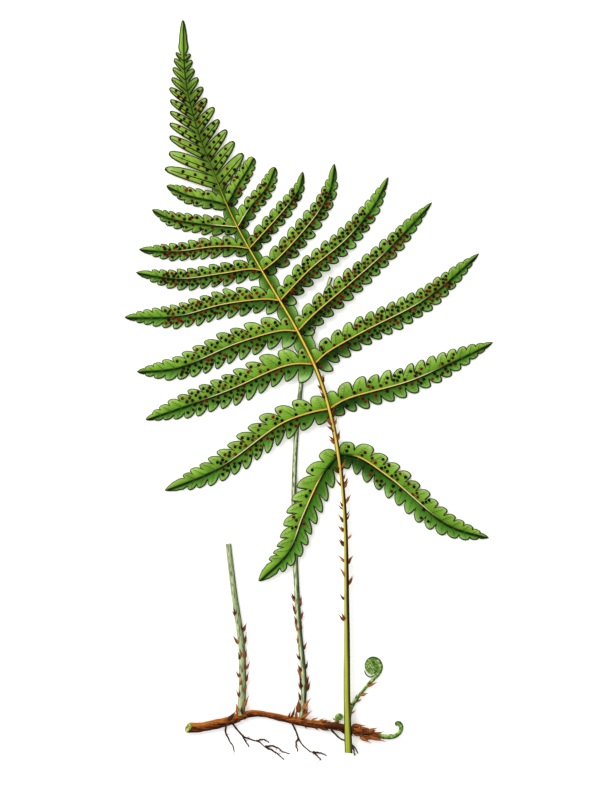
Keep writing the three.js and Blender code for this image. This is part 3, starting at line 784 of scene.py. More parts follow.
def leafGrid(pinna, dice):
    columns = pinna["columns"]
    share, lobe = columns["share"], columns["lobe"]
    count = len(share)
    lobeTone = dice.uniform(-1, 1, (pinna["lobes"] + 1, 2))
    margin, looks = marginOf(pinna, columns)
    rims = [(-1, rim) for rim in lamina["rims"][:0:-1]] + [(1, rim) for rim in lamina["rims"]]
    isTip = pinna["hand"] == "tip"
    paired = ("lightness", "shadeAlong", "seams", "costaScale", "outlines")
    own = {key: leafFinish[key][isTip] for key in paired}
    shadeStrength = leafFinish["shadeStrength"][pinna["hand"]]
    young = mix(*leafFinish["young"], ease(pinna["order"], *leafFinish["youngOrders"]))
    darkBelow, darkDepth = leafFinish["darkWithin"]
    grain = leafFinish["grainSteps"]
    grainOut, sideStep = leafFinish["grainOut"]
    points, rows = [], []
    for side, rim in rims:
        across = columns["ends"][side] * rim
        lateral = columns["lateral"][side]
        place = leafPlace(pinna, share, side, across, lateral * ease(rim, 0, lamina["rimFlattens"]))
        gaps = np.linalg.norm(place[:, None, :2] - margin[None], axis=2)
        nearest = gaps.argmin(axis=1)
        # Painted light on the half that faces up and to the left, painted shade on the other half
        lightFacing = paintedLightFacing(pinna, share, side) * (rim > 0)
        darkHalf = np.clip((darkBelow - lightFacing) / darkDepth, 0, 1)
        shaded = ease(looks[nearest] @ leafFinish["shadedLooks"], *leafFinish["shadedWithin"])
        seam = ease(across / columns["cut"], *own["seams"]) * (lobe < pinna["lobes"])
        out = pinna["reach"](share, side) * across
        shadeAlong = 1 - ease(share, *own["shadeAlong"])
        if isTip:
            # Painted shade, deep green, over the feet of the simple pinnae where they grow together
            paintedShade = shadeStrength * (1 - ease(out, *leafFinish["shadeOut"])) * shadeAlong
        else:
            # Painted shade along the midrib of the painted-shaded half, near the foot of the pinna
            paintedShade = shadeStrength * shadeAlong * darkHalf * (1 - ease(across, *leafFinish["shadeAcross"]))
        points.append(place)
        rows.append({
            "across": across,
            "light": np.clip(lightFacing / leafFinish["fullLight"] + own["lightness"], 0, 1),
            "young": np.full(count, young),
            "paintedShade": paintedShade,
            "costaGap": own["costaScale"] * out + leafFinish["costaClear"] * (1 - darkHalf) * (rim > 0),
            "crease": np.abs(lateral) * mix(leafFinish["faintCrease"], 1, seam),
            "rimGap": gaps[np.arange(count), nearest] / mix(*own["outlines"], shaded),
            "tone": lobeTone[lobe, 0 if side > 0 else 1],
            "grainX": (lateral * grain[0] + lobe * grain[1] + pinna["order"] * grain[2]
                       + (pinna["hand"] == "left") * grain[3]),
            "grainY": across * grainOut + side * sideStep,
        })
    apex = leafPlace(pinna, np.array([1.0]), 1, 0.0, 0.0)
    middle = len(lamina["rims"]) - 1
    facts = {}
    for key in rows[0]:
        facts[key] = np.append(np.concatenate([row[key] for row in rows]), rows[middle][key][-1])
    return np.vstack(points + [apex]), gridFaces(len(rims), count, len(rims) * count), facts


pinnae = makePinnae()
leafDice = np.random.RandomState(21)
for pinna in pinnae:
    pinna["columns"] = leafColumns(pinna, leafDice)


# What each point of the lamina tells its finish: how far out it is, whether it is on the painted-lit half,
# how young it is and how much painted shade deepens its green, and how near it is to the costa, to a
# crease and to the margin
laminaFacts = ("across", "light", "young", "paintedShade", "costaGap", "crease", "rimGap", "tone", "grainX", "grainY")


# The wing: the strip of lamina along the rachis, which joins the pinnae. It is narrow below, and swells
# between the pinnae of the upper pairs
wing = {
    "reach": 0.95,
    "swelling": {1: 3.4, -1: 3.2},  # to the left and to the right, where the pairs are usually far apart
    "usualGap": 13,
    "swellHeights": (9, 12),
    "swellLate": 1.3,  # above 1, so that it is widest nearer the upper pair
    "beyondFoot": 3,
    "beyondTip": 5,
    "stations": (-1.0, -0.86, -0.7, -0.5, -0.3, -0.14, 0.0, 0.14, 0.3, 0.5, 0.7, 0.86, 1.0),
    "underCosta": 0.25,  # how much lower than the costae it lies, and than the margins
    "underMargin": 0.35,
    "fallsWithin": (0.5, 1.6),
    "across": (0.2, 0.18),  # the finish at the rachis, and its change for each millimetre out
    # Painted shade along the rachis, fading out over about four millimetres, and little painted light
    "paintedShade": (0.5, -0.12),
    "light": 0.25,
    "outline": 0.5,
    "narrow": 1.3,  # where it reaches less than this, it has no thread at its margin
    "noOutline": 3,
    "grain": (1.1, 0.4, 7),
}


def wingReach(height, side):
    feet = np.array([pair["at"] for pair in lamina["pairs"]] + [tipBlade["foot"] + wing["beyondTip"]])
    place = np.clip(np.searchsorted(feet, height) - 1, 0, len(feet) - 2)
    gap = feet[place + 1] - feet[place]
    share = np.clip((height - feet[place]) / gap, 0, 1)
    swelling = np.sin(math.pi * share ** wing["swellLate"]) * ease(height, *wing["swellHeights"])
    return wing["reach"] + wing["swelling"][side] * (swelling * gap / wing["usualGap"])


def wingGrid():
    above = rachisLine[:, 1] > lamina["bladeFoot"] - wing["beyondFoot"]
    line = rachisLine[above & (rachisLine[:, 1] < tipBlade["foot"] + wing["beyondTip"])][::2]
    ahead = headings(line)
    along, outward, sideStep = wing["grain"]
    points, rows = [], []
    for share in wing["stations"]:
        reach = wingReach(line[:, 1], 1 if share > 0 else -1)
        out = reach * abs(share)
        x = line[:, 0] - ahead[:, 1] * reach * share
        y = line[:, 1] + ahead[:, 0] * reach * share
        fall = ease(out, *wing["fallsWithin"])
        rise = mix(lamina["archRise"] - wing["underCosta"], -wing["underMargin"], fall)
        points.append(np.column_stack([x, y, lamina["top"] + drapeAt(x, y) + rise]))
        rows.append({
            "across": wing["across"][0] + wing["across"][1] * out,
            "light": np.full(len(line), wing["light"]),
            "paintedShade": wing["paintedShade"][0] + wing["paintedShade"][1] * out,
            "costaGap": 1 + out,
            "rimGap": (reach - out) / wing["outline"] + wing["noOutline"] * (reach < wing["narrow"]),
            "grainX": along * y,
            "grainY": outward * out + sideStep * (share > 0),
        })
    facts = {}
    for key in laminaFacts:
        facts[key] = np.concatenate([row.get(key, np.zeros(len(line))) for row in rows])
    return np.vstack(points), gridFaces(len(rows), len(line)), facts


# Fresh fern lamina, thin and matt: yellow-green on its painted-lit half, painted shade in deep green
# along the midrib of its other half, and paler to the ends of its lobes
def makeLaminaMaterial():
    material, tree, shader = newMaterial("freshFernLamina", 0.7, 1.42, Specular_IOR_Level=0.08)
    facts = {}
    for name in laminaFacts:
        facts[name] = addNode(tree, "ShaderNodeAttribute", {"attribute_name": name}).outputs["Fac"]
    light = addNode(tree, "ShaderNodeValToRGB", links={"Fac": facts["across"]}, stops=(
        (0.0, "52861a"), (0.35, "6c9b28"), (0.7, "84ac42"), (1.0, "a2c072"),
    ))
    dark = addNode(tree, "ShaderNodeValToRGB", links={"Fac": facts["across"]}, stops=(
        (0.0, "174508"), (0.25, "306c14"), (0.55, "588e2e"), (0.8, "80ae56"), (1.0, "9cc078"),
    ))
    body = addNode(tree, "ShaderNodeMix", {"data_type": "RGBA"}, links={
        "Factor": facts["light"],
        "A": dark.outputs["Color"],
        "B": light.outputs["Color"],
    }).outputs["Result"]
    # A tint for the young pinnae, then the painted shade near the feet of the pinnae
    for name, colour in (("young", "8aa838"), ("paintedShade", "0a2c06")):
        body = addNode(tree, "ShaderNodeMix", {"data_type": "RGBA"}, {"B": linearColour(colour)}, {
            "Factor": facts[name],
            "A": body,
        }).outputs["Result"]
    # Mottling a few millimetres across, with a tone for each lobe and streaks that run out along it,
    # about a millimetre apart like its side veins
    place = addNode(tree, "ShaderNodeTexCoord").outputs["Object"]
    blotch = addNode(tree, "ShaderNodeTexNoise", values={"Scale": 300, "Detail": 3}, links={"Vector": place})
    grain = addNode(tree, "ShaderNodeCombineXYZ", links={"X": facts["grainX"], "Y": facts["grainY"]})
    streak = addNode(tree, "ShaderNodeTexNoise", values={"Scale": 2.4, "Detail": 2},
                     links={"Vector": grain.outputs["Vector"]})
    mottle = addNode(tree, "ShaderNodeMix", values={"Factor": 0.4}, links={
        "A": streak.outputs["Fac"],
        "B": blotch.outputs["Fac"],
    })
    toned = addNode(tree, "ShaderNodeMath", {"operation": "MULTIPLY_ADD"}, {1: 0.07}, {
        0: facts["tone"],
        2: mottle.outputs["Result"],
    })
    shade = addNode(tree, "ShaderNodeMapRange", values={
        "From Min": 0.3, "From Max": 0.7, "To Min": 0.7, "To Max": 1.32,
    }, links={"Value": toned.outputs["Value"]}).outputs["Result"]
    grey = addNode(tree, "ShaderNodeCombineColor", links={"Red": shade, "Green": shade, "Blue": shade})
    body = addNode(tree, "ShaderNodeMix", {"data_type": "RGBA", "blend_type": "MULTIPLY"}, {"Factor": 1.0}, {
        "A": body,
        "B": grey.outputs["Color"],
    }).outputs["Result"]
    # Dark threads: painted shadow along the midrib on its painted-shaded side, painted shade in the creases
    # between the lobes, and a dark line along the margins, which broadens as painted shade to the lower right
    paintedShadeThreads = (
        ("costaGap", 0.5, 1.5, 0.96, 0, "061602"),
        ("crease", 0.84, 0.95, 0, 0.95, "061602"),
        ("rimGap", 0.4, 1.0, 0.95, 0, "081202"),
    )
    for name, near, far, first, last, colour in paintedShadeThreads:
        amount = addNode(tree, "ShaderNodeMapRange", {"interpolation_type": "SMOOTHSTEP"}, {
            "From Min": near, "From Max": far, "To Min": first, "To Max": last,
        }, {"Value": facts[name]})
        body = addNode(tree, "ShaderNodeMix", {"data_type": "RGBA"}, {"B": linearColour(colour)}, {
            "Factor": amount.outputs["Result"],
            "A": body,
        }).outputs["Result"]
    tree.links.new(body, shader.inputs["Base Color"])
    # Leaf cells and fine veins stand out about a third of a millimetre apart
    cells = addNode(tree, "ShaderNodeTexVoronoi", values={"Scale": 3000}, links={"Vector": place})
    relief = addNode(tree, "ShaderNodeMath", {"operation": "MULTIPLY_ADD"}, {1: 3.0}, {
        0: streak.outputs["Fac"],
        2: cells.outputs["Distance"],
    })
    bump = addNode(tree, "ShaderNodeBump", values={"Strength": 0.3, "Distance": 0.00006},
                   links={"Height": relief.outputs["Value"]})
    tree.links.new(bump.outputs["Normal"], shader.inputs["Normal"])
    return material


def makeLamina():
    points, faces, start = [], [], 0
    facts = {}
    toneDice = np.random.RandomState(22)
    for grid, ownFaces, ownFacts in [leafGrid(pinna, toneDice) for pinna in pinnae] + [wingGrid()]:
        points.append(grid)
        faces += [tuple(start + corner for corner in face) for face in ownFaces]
        start += len(grid)
        for key, values in ownFacts.items():
            facts.setdefault(key, []).append(values)
    facts = {key: np.concatenate(values) for key, values in facts.items()}
    piece = meshPiece("lamina", np.vstack(points), faces, facts)
    shell = piece.modifiers.new("thickness", "SOLIDIFY")
    shell.thickness = lamina["thickness"] * mm
    shell.offset = -1
    finishPiece(piece, makeLaminaMaterial(), ["frond_blade"])
    print("lamina made:", len(faces), "faces")


makeLamina()

# The veins: a costule up the middle of each lobe, with side veins that run out to its margin
veins = {
    "costule": {"radius": 0.12, "taper": 0.85, "dark": 0.3},
    "simple": {"radius": 0.23, "taper": 0.5, "dark": 0.95},  # the midribs of the simple pinnae
    "swollenFoot": 1.15,
    "reach": (0.02, 0.92),
    "steps": 6,
    "sideRadius": 0.07,
    "sideFoot": 1.1,
    "sides": 4,
    "starts": (0.14, 0.32, 0.5, 0.66),
    "forward": 0.2,
    "spread": (0.0, 0.4, 0.76),  # how near a side vein comes to the margin of its lobe, at three points
    "outerSpread": 0.55,  # by how much the outer ones of a lobe spread less
    "outerWithin": (0.2, 0.8),
    "leastReach": 2.2,  # a shorter lobe has no side veins
    "rootShift": {"left": 0.25, "right": 0.25, "tip": 0.02},  # of a lobe's width, towards the pinna's foot
}


# The vein's green is deeper than the lamina's, as in fresh fern seen from below
def makeVeinMaterial():
    material, tree, shader = newMaterial("fernVein", 0.6, 1.42, Specular_IOR_Level=0.1)
    place = addNode(tree, "ShaderNodeTexCoord").outputs["Object"]
    patch = addNode(tree, "ShaderNodeTexNoise", values={"Scale": 140}, links={"Vector": place})
    colour = addNode(tree, "ShaderNodeMix", {"data_type": "RGBA"},
                     {"A": linearColour("275a12"), "B": linearColour("4b7c22")},
                     {"Factor": patch.outputs["Fac"]})
    dark = addNode(tree, "ShaderNodeAttribute", {"attribute_name": "dark"}).outputs["Fac"]
    deepened = addNode(tree, "ShaderNodeMix", {"data_type": "RGBA"}, {"B": linearColour("071003")}, {
        "Factor": dark,
        "A": colour.outputs["Result"],
    })
    tree.links.new(deepened.outputs["Result"], shader.inputs["Base Color"])
    return material


# Of one lobe: where the costule is across it and along the pinna, and how wide the lobe is
def lobeMiddle(pinna, lobe, side):
    low, high = pinna["edges"][lobe:lobe + 2]
    crown = pinna["profiles"][side][0]
    return crown, mix(low, high, crown), high - low


def makeVeins():
    rows = []
    across = np.linspace(*veins["reach"], veins["steps"])
    spread = np.array(veins["spread"])
    sideGirth = veins["sideRadius"] * (veins["sideFoot"] - spread)
    for pinna in pinnae:
        rootShift = veins["rootShift"][pinna["hand"]]
        kind = veins["simple" if pinna["hand"] == "tip" else "costule"]
        girth = kind["radius"] * (veins["swollenFoot"] - kind["taper"] * across)
        for i in range(pinna["lobes"]):
            for side in (1, -1):
                crown, middle, width = lobeMiddle(pinna, i, side)
                shares = middle - width * rootShift * (1 - across)
                line = leafPlace(pinna, shares, side, across, 0 * across)
                rows.append((line, girth, {"dark": np.full(len(line), kind["dark"])}))
                if float(pinna["reach"](middle, side)) < veins["leastReach"]:
                    continue
                for start in veins["starts"]:
                    out = start + veins["forward"] * spread
                    root = middle - width * rootShift * (1 - start)
                    narrow = mix(1, veins["outerSpread"], ease(start, *veins["outerWithin"]))
                    for hand in (1, -1):
                        room = (1 - crown) if hand > 0 else crown
                        far = middle + hand * width * room * spread[-1] * narrow
                        share = mix(root, far, spread / spread[-1])
                        line = leafPlace(pinna, share, side, out, hand * spread)
                        rows.append((line, sideGirth, {"dark": 0 * spread}))
    piece = stemsPiece("laminaVeins", rows, veins["sides"], makeVeinMaterial())
    finishPiece(piece, None)
    print("veins made:", len(rows))


makeVeins()

# Sori: round heaps of sporangia in two rows on each lobe, none on its end
sori = {
    "radius": 0.74,
    "radiusSpread": (0.84, 1.06),
    "bead": 0.34,
    "beadSpread": (0.92, 1.12),
    "beads": 7,
    "topBead": 1.25,  # size of the sporangium on top, over the others
    "topHeight": 0.55,
    "ringHeight": 0.2,
    "tones": (1.2, 1.6),  # the two shapes of a spread from nearly black to red
    "toneJitter": 0.12,
    "topDarker": 0.2,
    "rows": {"many": (0.17, 0.4, 0.63), "some": (0.24, 0.52), "few": (0.34,)},
    "reaches": {"many": 5, "some": 2.9, "tip": 6},  # how long a lobe is that has so many rows
    "manyShare": (0.55, 0.25),  # and how many of the long ones have them, of the light and the dark half
    "youngFrom": 6,
    "youngSpots": ((0.54, 1), (0.27, -1), (0.25, 1)),
    "bareLobes": {"tip": 4, "old": 3, "young": 1},  # at the end of a pinna
    "lateral": 0.42,
    "stagger": 0.04,
    "rootShift": 0.8,  # as a share of the veins'
    "keep": 0.93,
    # How much rarer they are on the lobes nearest the rachis, of the three lowest pairs and of the others
    "rareLow": (0.2, 0.4, 0.6, 0.75, 0.9),
    "rareHigh": (0.5, 0.8),
    "thinsWithin": (0.3, 0.55),  # along a pinna that is less fertile farther out
    "jitter": 0.022,
    "lateralJitter": 0.05,
    "clearOfRachis": 1.3,
}


# Ripe sporangia, dry and shining: dark maroon to almost black, a few still red
def makeSorusMaterial():
    material, tree, shader = newMaterial("ripeSporangia", 0.5, 1.42, Specular_IOR_Level=0.12)
    tone = addNode(tree, "ShaderNodeAttribute", {"attribute_name": "tone"}).outputs["Fac"]
    ramp = addNode(tree, "ShaderNodeValToRGB", links={"Fac": tone},
                   stops=((0.0, "0a0202"), (0.5, "380a05"), (1.0, "8e180c")))
    tree.links.new(ramp.outputs["Color"], shader.inputs["Base Color"])
    return material


def makeBead():
    bpy.ops.mesh.primitive_ico_sphere_add(subdivisions=1, radius=1)
    return bpy.context.object


def soriShare(pinna, lobe, middle, side):
    rare = sori["rareLow"] if pinna["order"] < 3 else sori["rareHigh"]
    isRare = pinna["hand"] != "tip" and lobe < len(rare)
    lightHalf, darkHalf, outer = pinna["fertile"]
    fertile = lightHalf if side == pinna["light"] else darkHalf
    fertile = fertile * mix(1, outer, ease(middle, *sori["thinsWithin"]))
    return sori["keep"] * fertile * (rare[lobe] if isRare else 1)


# The sori of one lobe: how far out each is, and on which side of the costule
def soriSpots(pinna, lobe, middle, side, dice):
    reach = float(pinna["reach"](middle, side))
    reaches = sori["reaches"]
    kind = "some" if reach > reaches["some"] else "few"
    if pinna["hand"] == "tip":
        kind = "many" if reach > reaches["tip"] else "some"
    elif pinna["order"] >= sori["youngFrom"]:
        hand = 1 if (lobe + (side > 0)) % 2 else -1
        count = len(lamina["pairs"]) - pinna["order"]
        return [(stop, hand * turn) for stop, turn in sori["youngSpots"][:count]]
    elif reach > reaches["many"] and dice.rand() < sori["manyShare"][side != pinna["light"]]:
        kind = "many"
    return [(stop, hand) for stop in sori["rows"][kind] for hand in (1, -1)]


def makeSori():
    dice = np.random.RandomState(31)
    material = makeSorusMaterial()
    bead = makeBead()
    heaps = {"left": [], "right": []}
    for pinna in pinnae:
        age = "tip" if pinna["hand"] == "tip" else "old" if pinna["order"] < 5 else "young"
        rootShift = sori["rootShift"] * veins["rootShift"][pinna["hand"]]
        for i in range(pinna["lobes"] - sori["bareLobes"][age]):
            for side in (1, -1):
                crown, middle, width = lobeMiddle(pinna, i, side)
                for stop, hand in soriSpots(pinna, i, middle, side, dice):
                    if dice.rand() > soriShare(pinna, i, middle, side):
                        continue
                    across = stop + sori["stagger"] * hand + dice.normal(0, sori["jitter"])
                    lateral = hand * (sori["lateral"] + dice.normal(0, sori["lateralJitter"]))
                    room = (1 - crown) if hand > 0 else crown
                    share = middle + lateral * room * width - width * rootShift * (1 - across)
                    place = leafPlace(pinna, share, side, across, lateral * 0.5)
                    if abs(place[0] - rachisAt(place[1])) < sori["clearOfRachis"]:
                        continue
                    bucket = heaps["left" if place[0] < rachisAt(place[1]) else "right"]
                    bucket += sporangiaAt(place, dice)
    for hand, rows in heaps.items():
        piece = formsPiece("sori" + hand.capitalize(), rows, bead, material)
        finishPiece(piece, None)
        print("sori", hand, "made:", len(rows), "sporangia")
    bpy.data.objects.remove(bead)


# One heap: a sporangium on top and a ring of them round it
def sporangiaAt(place, dice):
    heap = sori["radius"] * dice.uniform(*sori["radiusSpread"])
    tone = dice.beta(*sori["tones"])
    turn = dice.uniform(0, 2 * math.pi)
    rows = []
    for b in range(sori["beads"]):
        angle = turn + b * 2 * math.pi / (sori["beads"] - 1)
        ring = heap - sori["bead"] if b else 0
        rise = heap * sori["ringHeight" if b else "topHeight"]
        offset = np.array([ring * math.cos(angle), ring * math.sin(angle), rise])
        size = sori["bead"] * dice.uniform(*sori["beadSpread"]) * (1 if b else sori["topBead"])
        shade = np.clip(tone + dice.normal(0, sori["toneJitter"]) - (0 if b else sori["topDarker"]), 0, 1)
        rows.append((place + offset, (0, 1, 0), (0, 0, 1), (size * mm,) * 3, shade))
    return rows


makeSori()

# The stalk of the frond: stipe and rachis in one, with the midribs of the pinnae
stalk = {
    "sides": 20,
    "ribs": 5,
    "ribDepth": 0.035,
    "slant": 0.3,
    "end": 145,
    # Changes of its thickness, each with the heights within which it comes in; its foot is thicker again
    "girths": ((-0.2, -112, -60), (0.06, -20, 0)),
    "footGirth": (0.08, -144, -128),
    "overRhizome": 1.75,  # height of its lower side there, in radii of the rhizome
    "rhizomeHeight": -134,
    "middle": 0.87,  # height of its middle over its lower side, in its radii
    "sinksWithin": (86, 130),  # it sinks into the tip of the blade, and gets thinner there
    "sinks": 0.45,
    "thinner": 0.55,
    "endWithin": (118, 146),
    "endSinks": 0.9,
    "costaFoot": 0.38,
    "costaTip": 0.1,
    "costaEnd": 0.985,
    "costaSteps": 40,
    "costaSides": 8,
    "costaRise": (0.42, 0.12),  # at its foot and at its tip, over the middle of the lamina
    "youngestCosta": 0.5,  # how thick it is in the youngest pair, over the oldest
    "greenOrders": (6, 8),  # the midribs of the two youngest pairs are still green
    "greener": 0.7,
    # How far out the midribs of the lowest pair are still dark green
    "darkFoot": {"left": 0.2, "right": 0.1},
    # Heights of the scales up the right and the left flank
    "rightScales": (3.1, -10.5, -13.7, -19.7, -30.9, -36.1, -38.5, -45.3, -51.3, -59.7, -68.9, -77.4),
    "leftScales": (
        -0.1, -3.3, -12.9, -16.1, -21.3, -32.9, -38.1, -46.3, -52.1, -56.5, -62.1, -68.1, -75.3, -84.1, -92,
    ),
    "scaleLength": (3.0, 4.6),
    "smallScales": (10, 17, 24.5, 33, 41),  # heights of the short single ones between the pinnae
    "smallLength": (1.6, 2.6),
}


def stalkRadius(y):
    foot, bladeFoot = stems["rachis"][0][1], lamina["bladeFoot"]
    middle = stems["stipeHeadRadius"]
    stipe = mix(stems["stipeFootRadius"], middle, (y - foot) / (bladeFoot - foot))
    share = (y - bladeFoot) / (lamina["rachisEnd"] - bladeFoot)
    rachis = mix(middle, stems["rachisEndRadius"], np.clip(share, 0, 1))
    girth = 1
    for change, low, high in stalk["girths"]:
        girth = girth + change * ease(y, low, high)
    change, low, high = stalk["footGirth"]
    girth = girth + change * (1 - ease(y, low, high))
    return girth * np.where(y < bladeFoot, stipe, rachis)


# The middle of the stalk: it lies on the blade, and down on the rhizome at its foot
def stalkRoute(line, radii):
    x, y = line.T
    overBlade = lamina["top"] + lamina["archRise"] + drapeAt(x, y) + stems["clearGap"]
    overRhizome = stalk["overRhizome"] * stems["rhizomeRadius"] + stems["clearGap"]
    foot = mix(overBlade, overRhizome, ease(-y, -lamina["bladeFoot"], -stalk["rhizomeHeight"]))
    return np.column_stack([line, foot + radii * stalk["middle"]])


# Straw-coloured fern stem, smooth and a little waxy: golden above and yellow-green towards its foot, with
# painted shade in dark brown down its right flank; green again where it ends in the tip of the frond
def makeStrawMaterial():
    material, tree, shader = newMaterial("strawFernStem", 0.5, 1.45, Specular_IOR_Level=0.15)
    place = addNode(tree, "ShaderNodeTexCoord").outputs["Object"]
    split = addNode(tree, "ShaderNodeSeparateXYZ", links={"Vector": place})
    height = addNode(tree, "ShaderNodeMapRange", values={"From Min": -0.145, "From Max": 0.145},
                     links={"Value": split.outputs["Y"]})
    ramp = addNode(tree, "ShaderNodeValToRGB", links={"Fac": height.outputs["Result"]}, stops=(
        (0.0, "aec23c"), (0.08, "b0c048"), (0.15, "bec862"), (0.2, "ced270"), (0.27, "ccc452"),
        (0.31, "e6d65a"), (0.38, "f0d66c"), (0.46, "f2d060"), (0.55, "f6d44a"), (0.68, "f2d658"),
        (0.74, "d8b43c"), (0.79, "6c8424"), (0.84, "1c4412"), (1.0, "1e4a14"),
    ))
    # Fine streaks along the stem, half a millimetre wide and a centimetre long
    stretched = addNode(tree, "ShaderNodeMapping", values={"Scale": (2000, 100, 2000)},
                        links={"Vector": place})
    streak = addNode(tree, "ShaderNodeTexNoise", values={"Scale": 1.0, "Detail": 2},
                     links={"Vector": stretched.outputs["Vector"]})
    fade = addNode(tree, "ShaderNodeMapRange", values={"From Min": 0.35, "From Max": 0.75, "To Max": 0.45},
                   links={"Value": streak.outputs["Fac"]})
    streaked = addNode(tree, "ShaderNodeMix", {"data_type": "RGBA"}, {"B": linearColour("80701e")}, {
        "Factor": fade.outputs["Result"],
        "A": ramp.outputs["Color"],
    })
    # Across the stem: a brown line at its left edge, a band left of its middle kept as it is, and painted
    # shade that deepens to near black on its right flank, which is broadest in the middle of the stipe
    aside = addNode(tree, "ShaderNodeAttribute", {"attribute_name": "aside"}).outputs["Fac"]
    shadeBreadth = addNode(tree, "ShaderNodeValToRGB", links={"Fac": height.outputs["Result"]}, stops=(
        (0.05, "000000"), (0.12, "909090"), (0.2, "ffffff"), (0.36, "ffffff"), (0.44, "000000"),
    ))
    flank = addNode(tree, "ShaderNodeMath", {"operation": "MULTIPLY_ADD"}, {1: 0.46}, {
        0: shadeBreadth.outputs["Color"],
        2: aside,
    })
    across = addNode(tree, "ShaderNodeMapRange", values={"From Min": -1, "From Max": 1},
                     links={"Value": flank.outputs["Value"]})
    band = addNode(tree, "ShaderNodeValToRGB", links={"Fac": across.outputs["Result"]}, stops=(
        (0.0, "2c200e"), (0.11, "948458"), (0.21, "fcf8ec"), (0.56, "f6f0dc"), (0.66, "b4ae74"),
        (0.75, "868040"), (0.83, "443616"), (0.91, "080401"),
    ))
    paintedShading = addNode(tree, "ShaderNodeMix", {"data_type": "RGBA", "blend_type": "MULTIPLY"}, {"Factor": 1.0}, {
        "A": streaked.outputs["Result"],
        "B": band.outputs["Color"],
    })
    cut = addNode(tree, "ShaderNodeAttribute", {"attribute_name": "cut"}).outputs["Fac"]
    ended = addNode(tree, "ShaderNodeMix", {"data_type": "RGBA"}, {"B": linearColour("cfd89a")}, {
        "Factor": cut,
        "A": paintedShading.outputs["Result"],
    })
    tree.links.new(ended.outputs["Result"], shader.inputs["Base Color"])
    bump = addNode(tree, "ShaderNodeBump", values={"Strength": 0.2, "Distance": 0.0001},
                   links={"Height": streak.outputs["Fac"]})
    tree.links.new(bump.outputs["Normal"], shader.inputs["Normal"])
    return material


# Midrib of a pinna, smooth: cream-gold near the rachis and green in its outer part; the pale cream just
# before the green is partly a painted highlight
def makeCostaMaterial():
    material, tree, shader = newMaterial("fernCosta", 0.5, 1.45, Specular_IOR_Level=0.2)
    reached = addNode(tree, "ShaderNodeAttribute", {"attribute_name": "reached"}).outputs["Fac"]
    ramp = addNode(tree, "ShaderNodeValToRGB", links={"Fac": reached}, stops=(
        (0.0, "dcae34"), (0.3, "ecc864"), (0.58, "e8dcb0"), (0.64, "8a8a5a"), (0.7, "2c4a1c"),
        (1.0, "163c10"),
    ))
    place = addNode(tree, "ShaderNodeTexCoord").outputs["Object"]
    patch = addNode(tree, "ShaderNodeTexNoise", values={"Scale": 500, "Detail": 2}, links={"Vector": place})
    fade = addNode(tree, "ShaderNodeMapRange", values={"From Min": 0.4, "From Max": 0.8, "To Max": 0.4},
                   links={"Value": patch.outputs["Fac"]})
    mottled = addNode(tree, "ShaderNodeMix", {"data_type": "RGBA"}, {"B": linearColour("a5924a")}, {
        "Factor": fade.outputs["Result"],
        "A": ramp.outputs["Color"],
    })
    darkFoot = addNode(tree, "ShaderNodeAttribute", {"attribute_name": "darkFoot"}).outputs["Fac"]
    greened = addNode(tree, "ShaderNodeMix", {"data_type": "RGBA"}, {"B": linearColour("1c3c0e")}, {
        "Factor": darkFoot,
        "A": mottled.outputs["Result"],
    })
    tree.links.new(greened.outputs["Result"], shader.inputs["Base Color"])
    return material


def makeStalk():
    line = rachisLine[rachisLine[:, 1] < stalk["end"]]
    radii = stalkRadius(line[:, 1])
    route = stalkRoute(line, radii)
    fall = ease(line[:, 1], *stalk["sinksWithin"])
    route[:, 2] -= fall * stalk["sinks"]
    route[:, 2] -= ease(line[:, 1], *stalk["endWithin"]) * stalk["endSinks"]
    radii = radii * (1 - stalk["thinner"] * fall)
    ribs = lambda share, turn: stalk["ribDepth"] * np.cos(stalk["ribs"] * turn + 0.6)
    piece = ringedStem("frondStem", route, radii, stalk["sides"], ribs, cutStart=True, slant=stalk["slant"])
    finishPiece(piece, makeStrawMaterial(), ["frond_stalk"])
    rows = []
    share = np.linspace(0, stalk["costaEnd"], stalk["costaSteps"])
    footRise, tipRise = stalk["costaRise"]
    for pinna in pinnae[:-1]:
        line = leafPlace(pinna, share, 1, 0.0, 0.0)
        slim = mix(1.0, stalk["youngestCosta"], pinna["order"] / (len(lamina["pairs"]) - 1))
        girth = slim * mix(stalk["costaFoot"], stalk["costaTip"], share ** 0.75)
        line[:, 2] += (footRise - tipRise) * (1 - share) + tipRise
        reached = np.clip(share + stalk["greener"] * ease(pinna["order"], *stalk["greenOrders"]), 0, 1)
        end = stalk["darkFoot"][pinna["hand"]]
        darkFoot = (pinna["order"] == 0) * (1 - ease(share, 0.7 * end, 1.3 * end))
        rows.append((line, girth, {"reached": reached, "darkFoot": darkFoot}))
    costae = stemsPiece("costae", rows, stalk["costaSides"], makeCostaMaterial())
    finishPiece(costae, None)
    print("stalk made")


makeStalk()

# Scales: narrow papery blades with long points, on the stems and the rhizome
scales = {
    "width": 0.26,
    "thickness": 0.035,
    "arch": 0.1,
    "keel": 0.03,  # how much its middle stands over its edges
    "widths": ((0.0, 0.5), (0.12, 0.9), (0.3, 1.0), (0.54, 0.6), (0.76, 0.22), (1.0, 0.04)),
    "tilt": 0.35,
    "spread": (20, 48),  # degrees away from the stem
    "turns": (-5, 60),  # degrees up from the flank of the stem
    "rootDepth": 0.85,  # distance of its root from the middle of the stem, in radii of the stem
    "breadths": (0.85, 1.25),
    "inTuft": 2,
    "tuftJitter": 0.003,
}


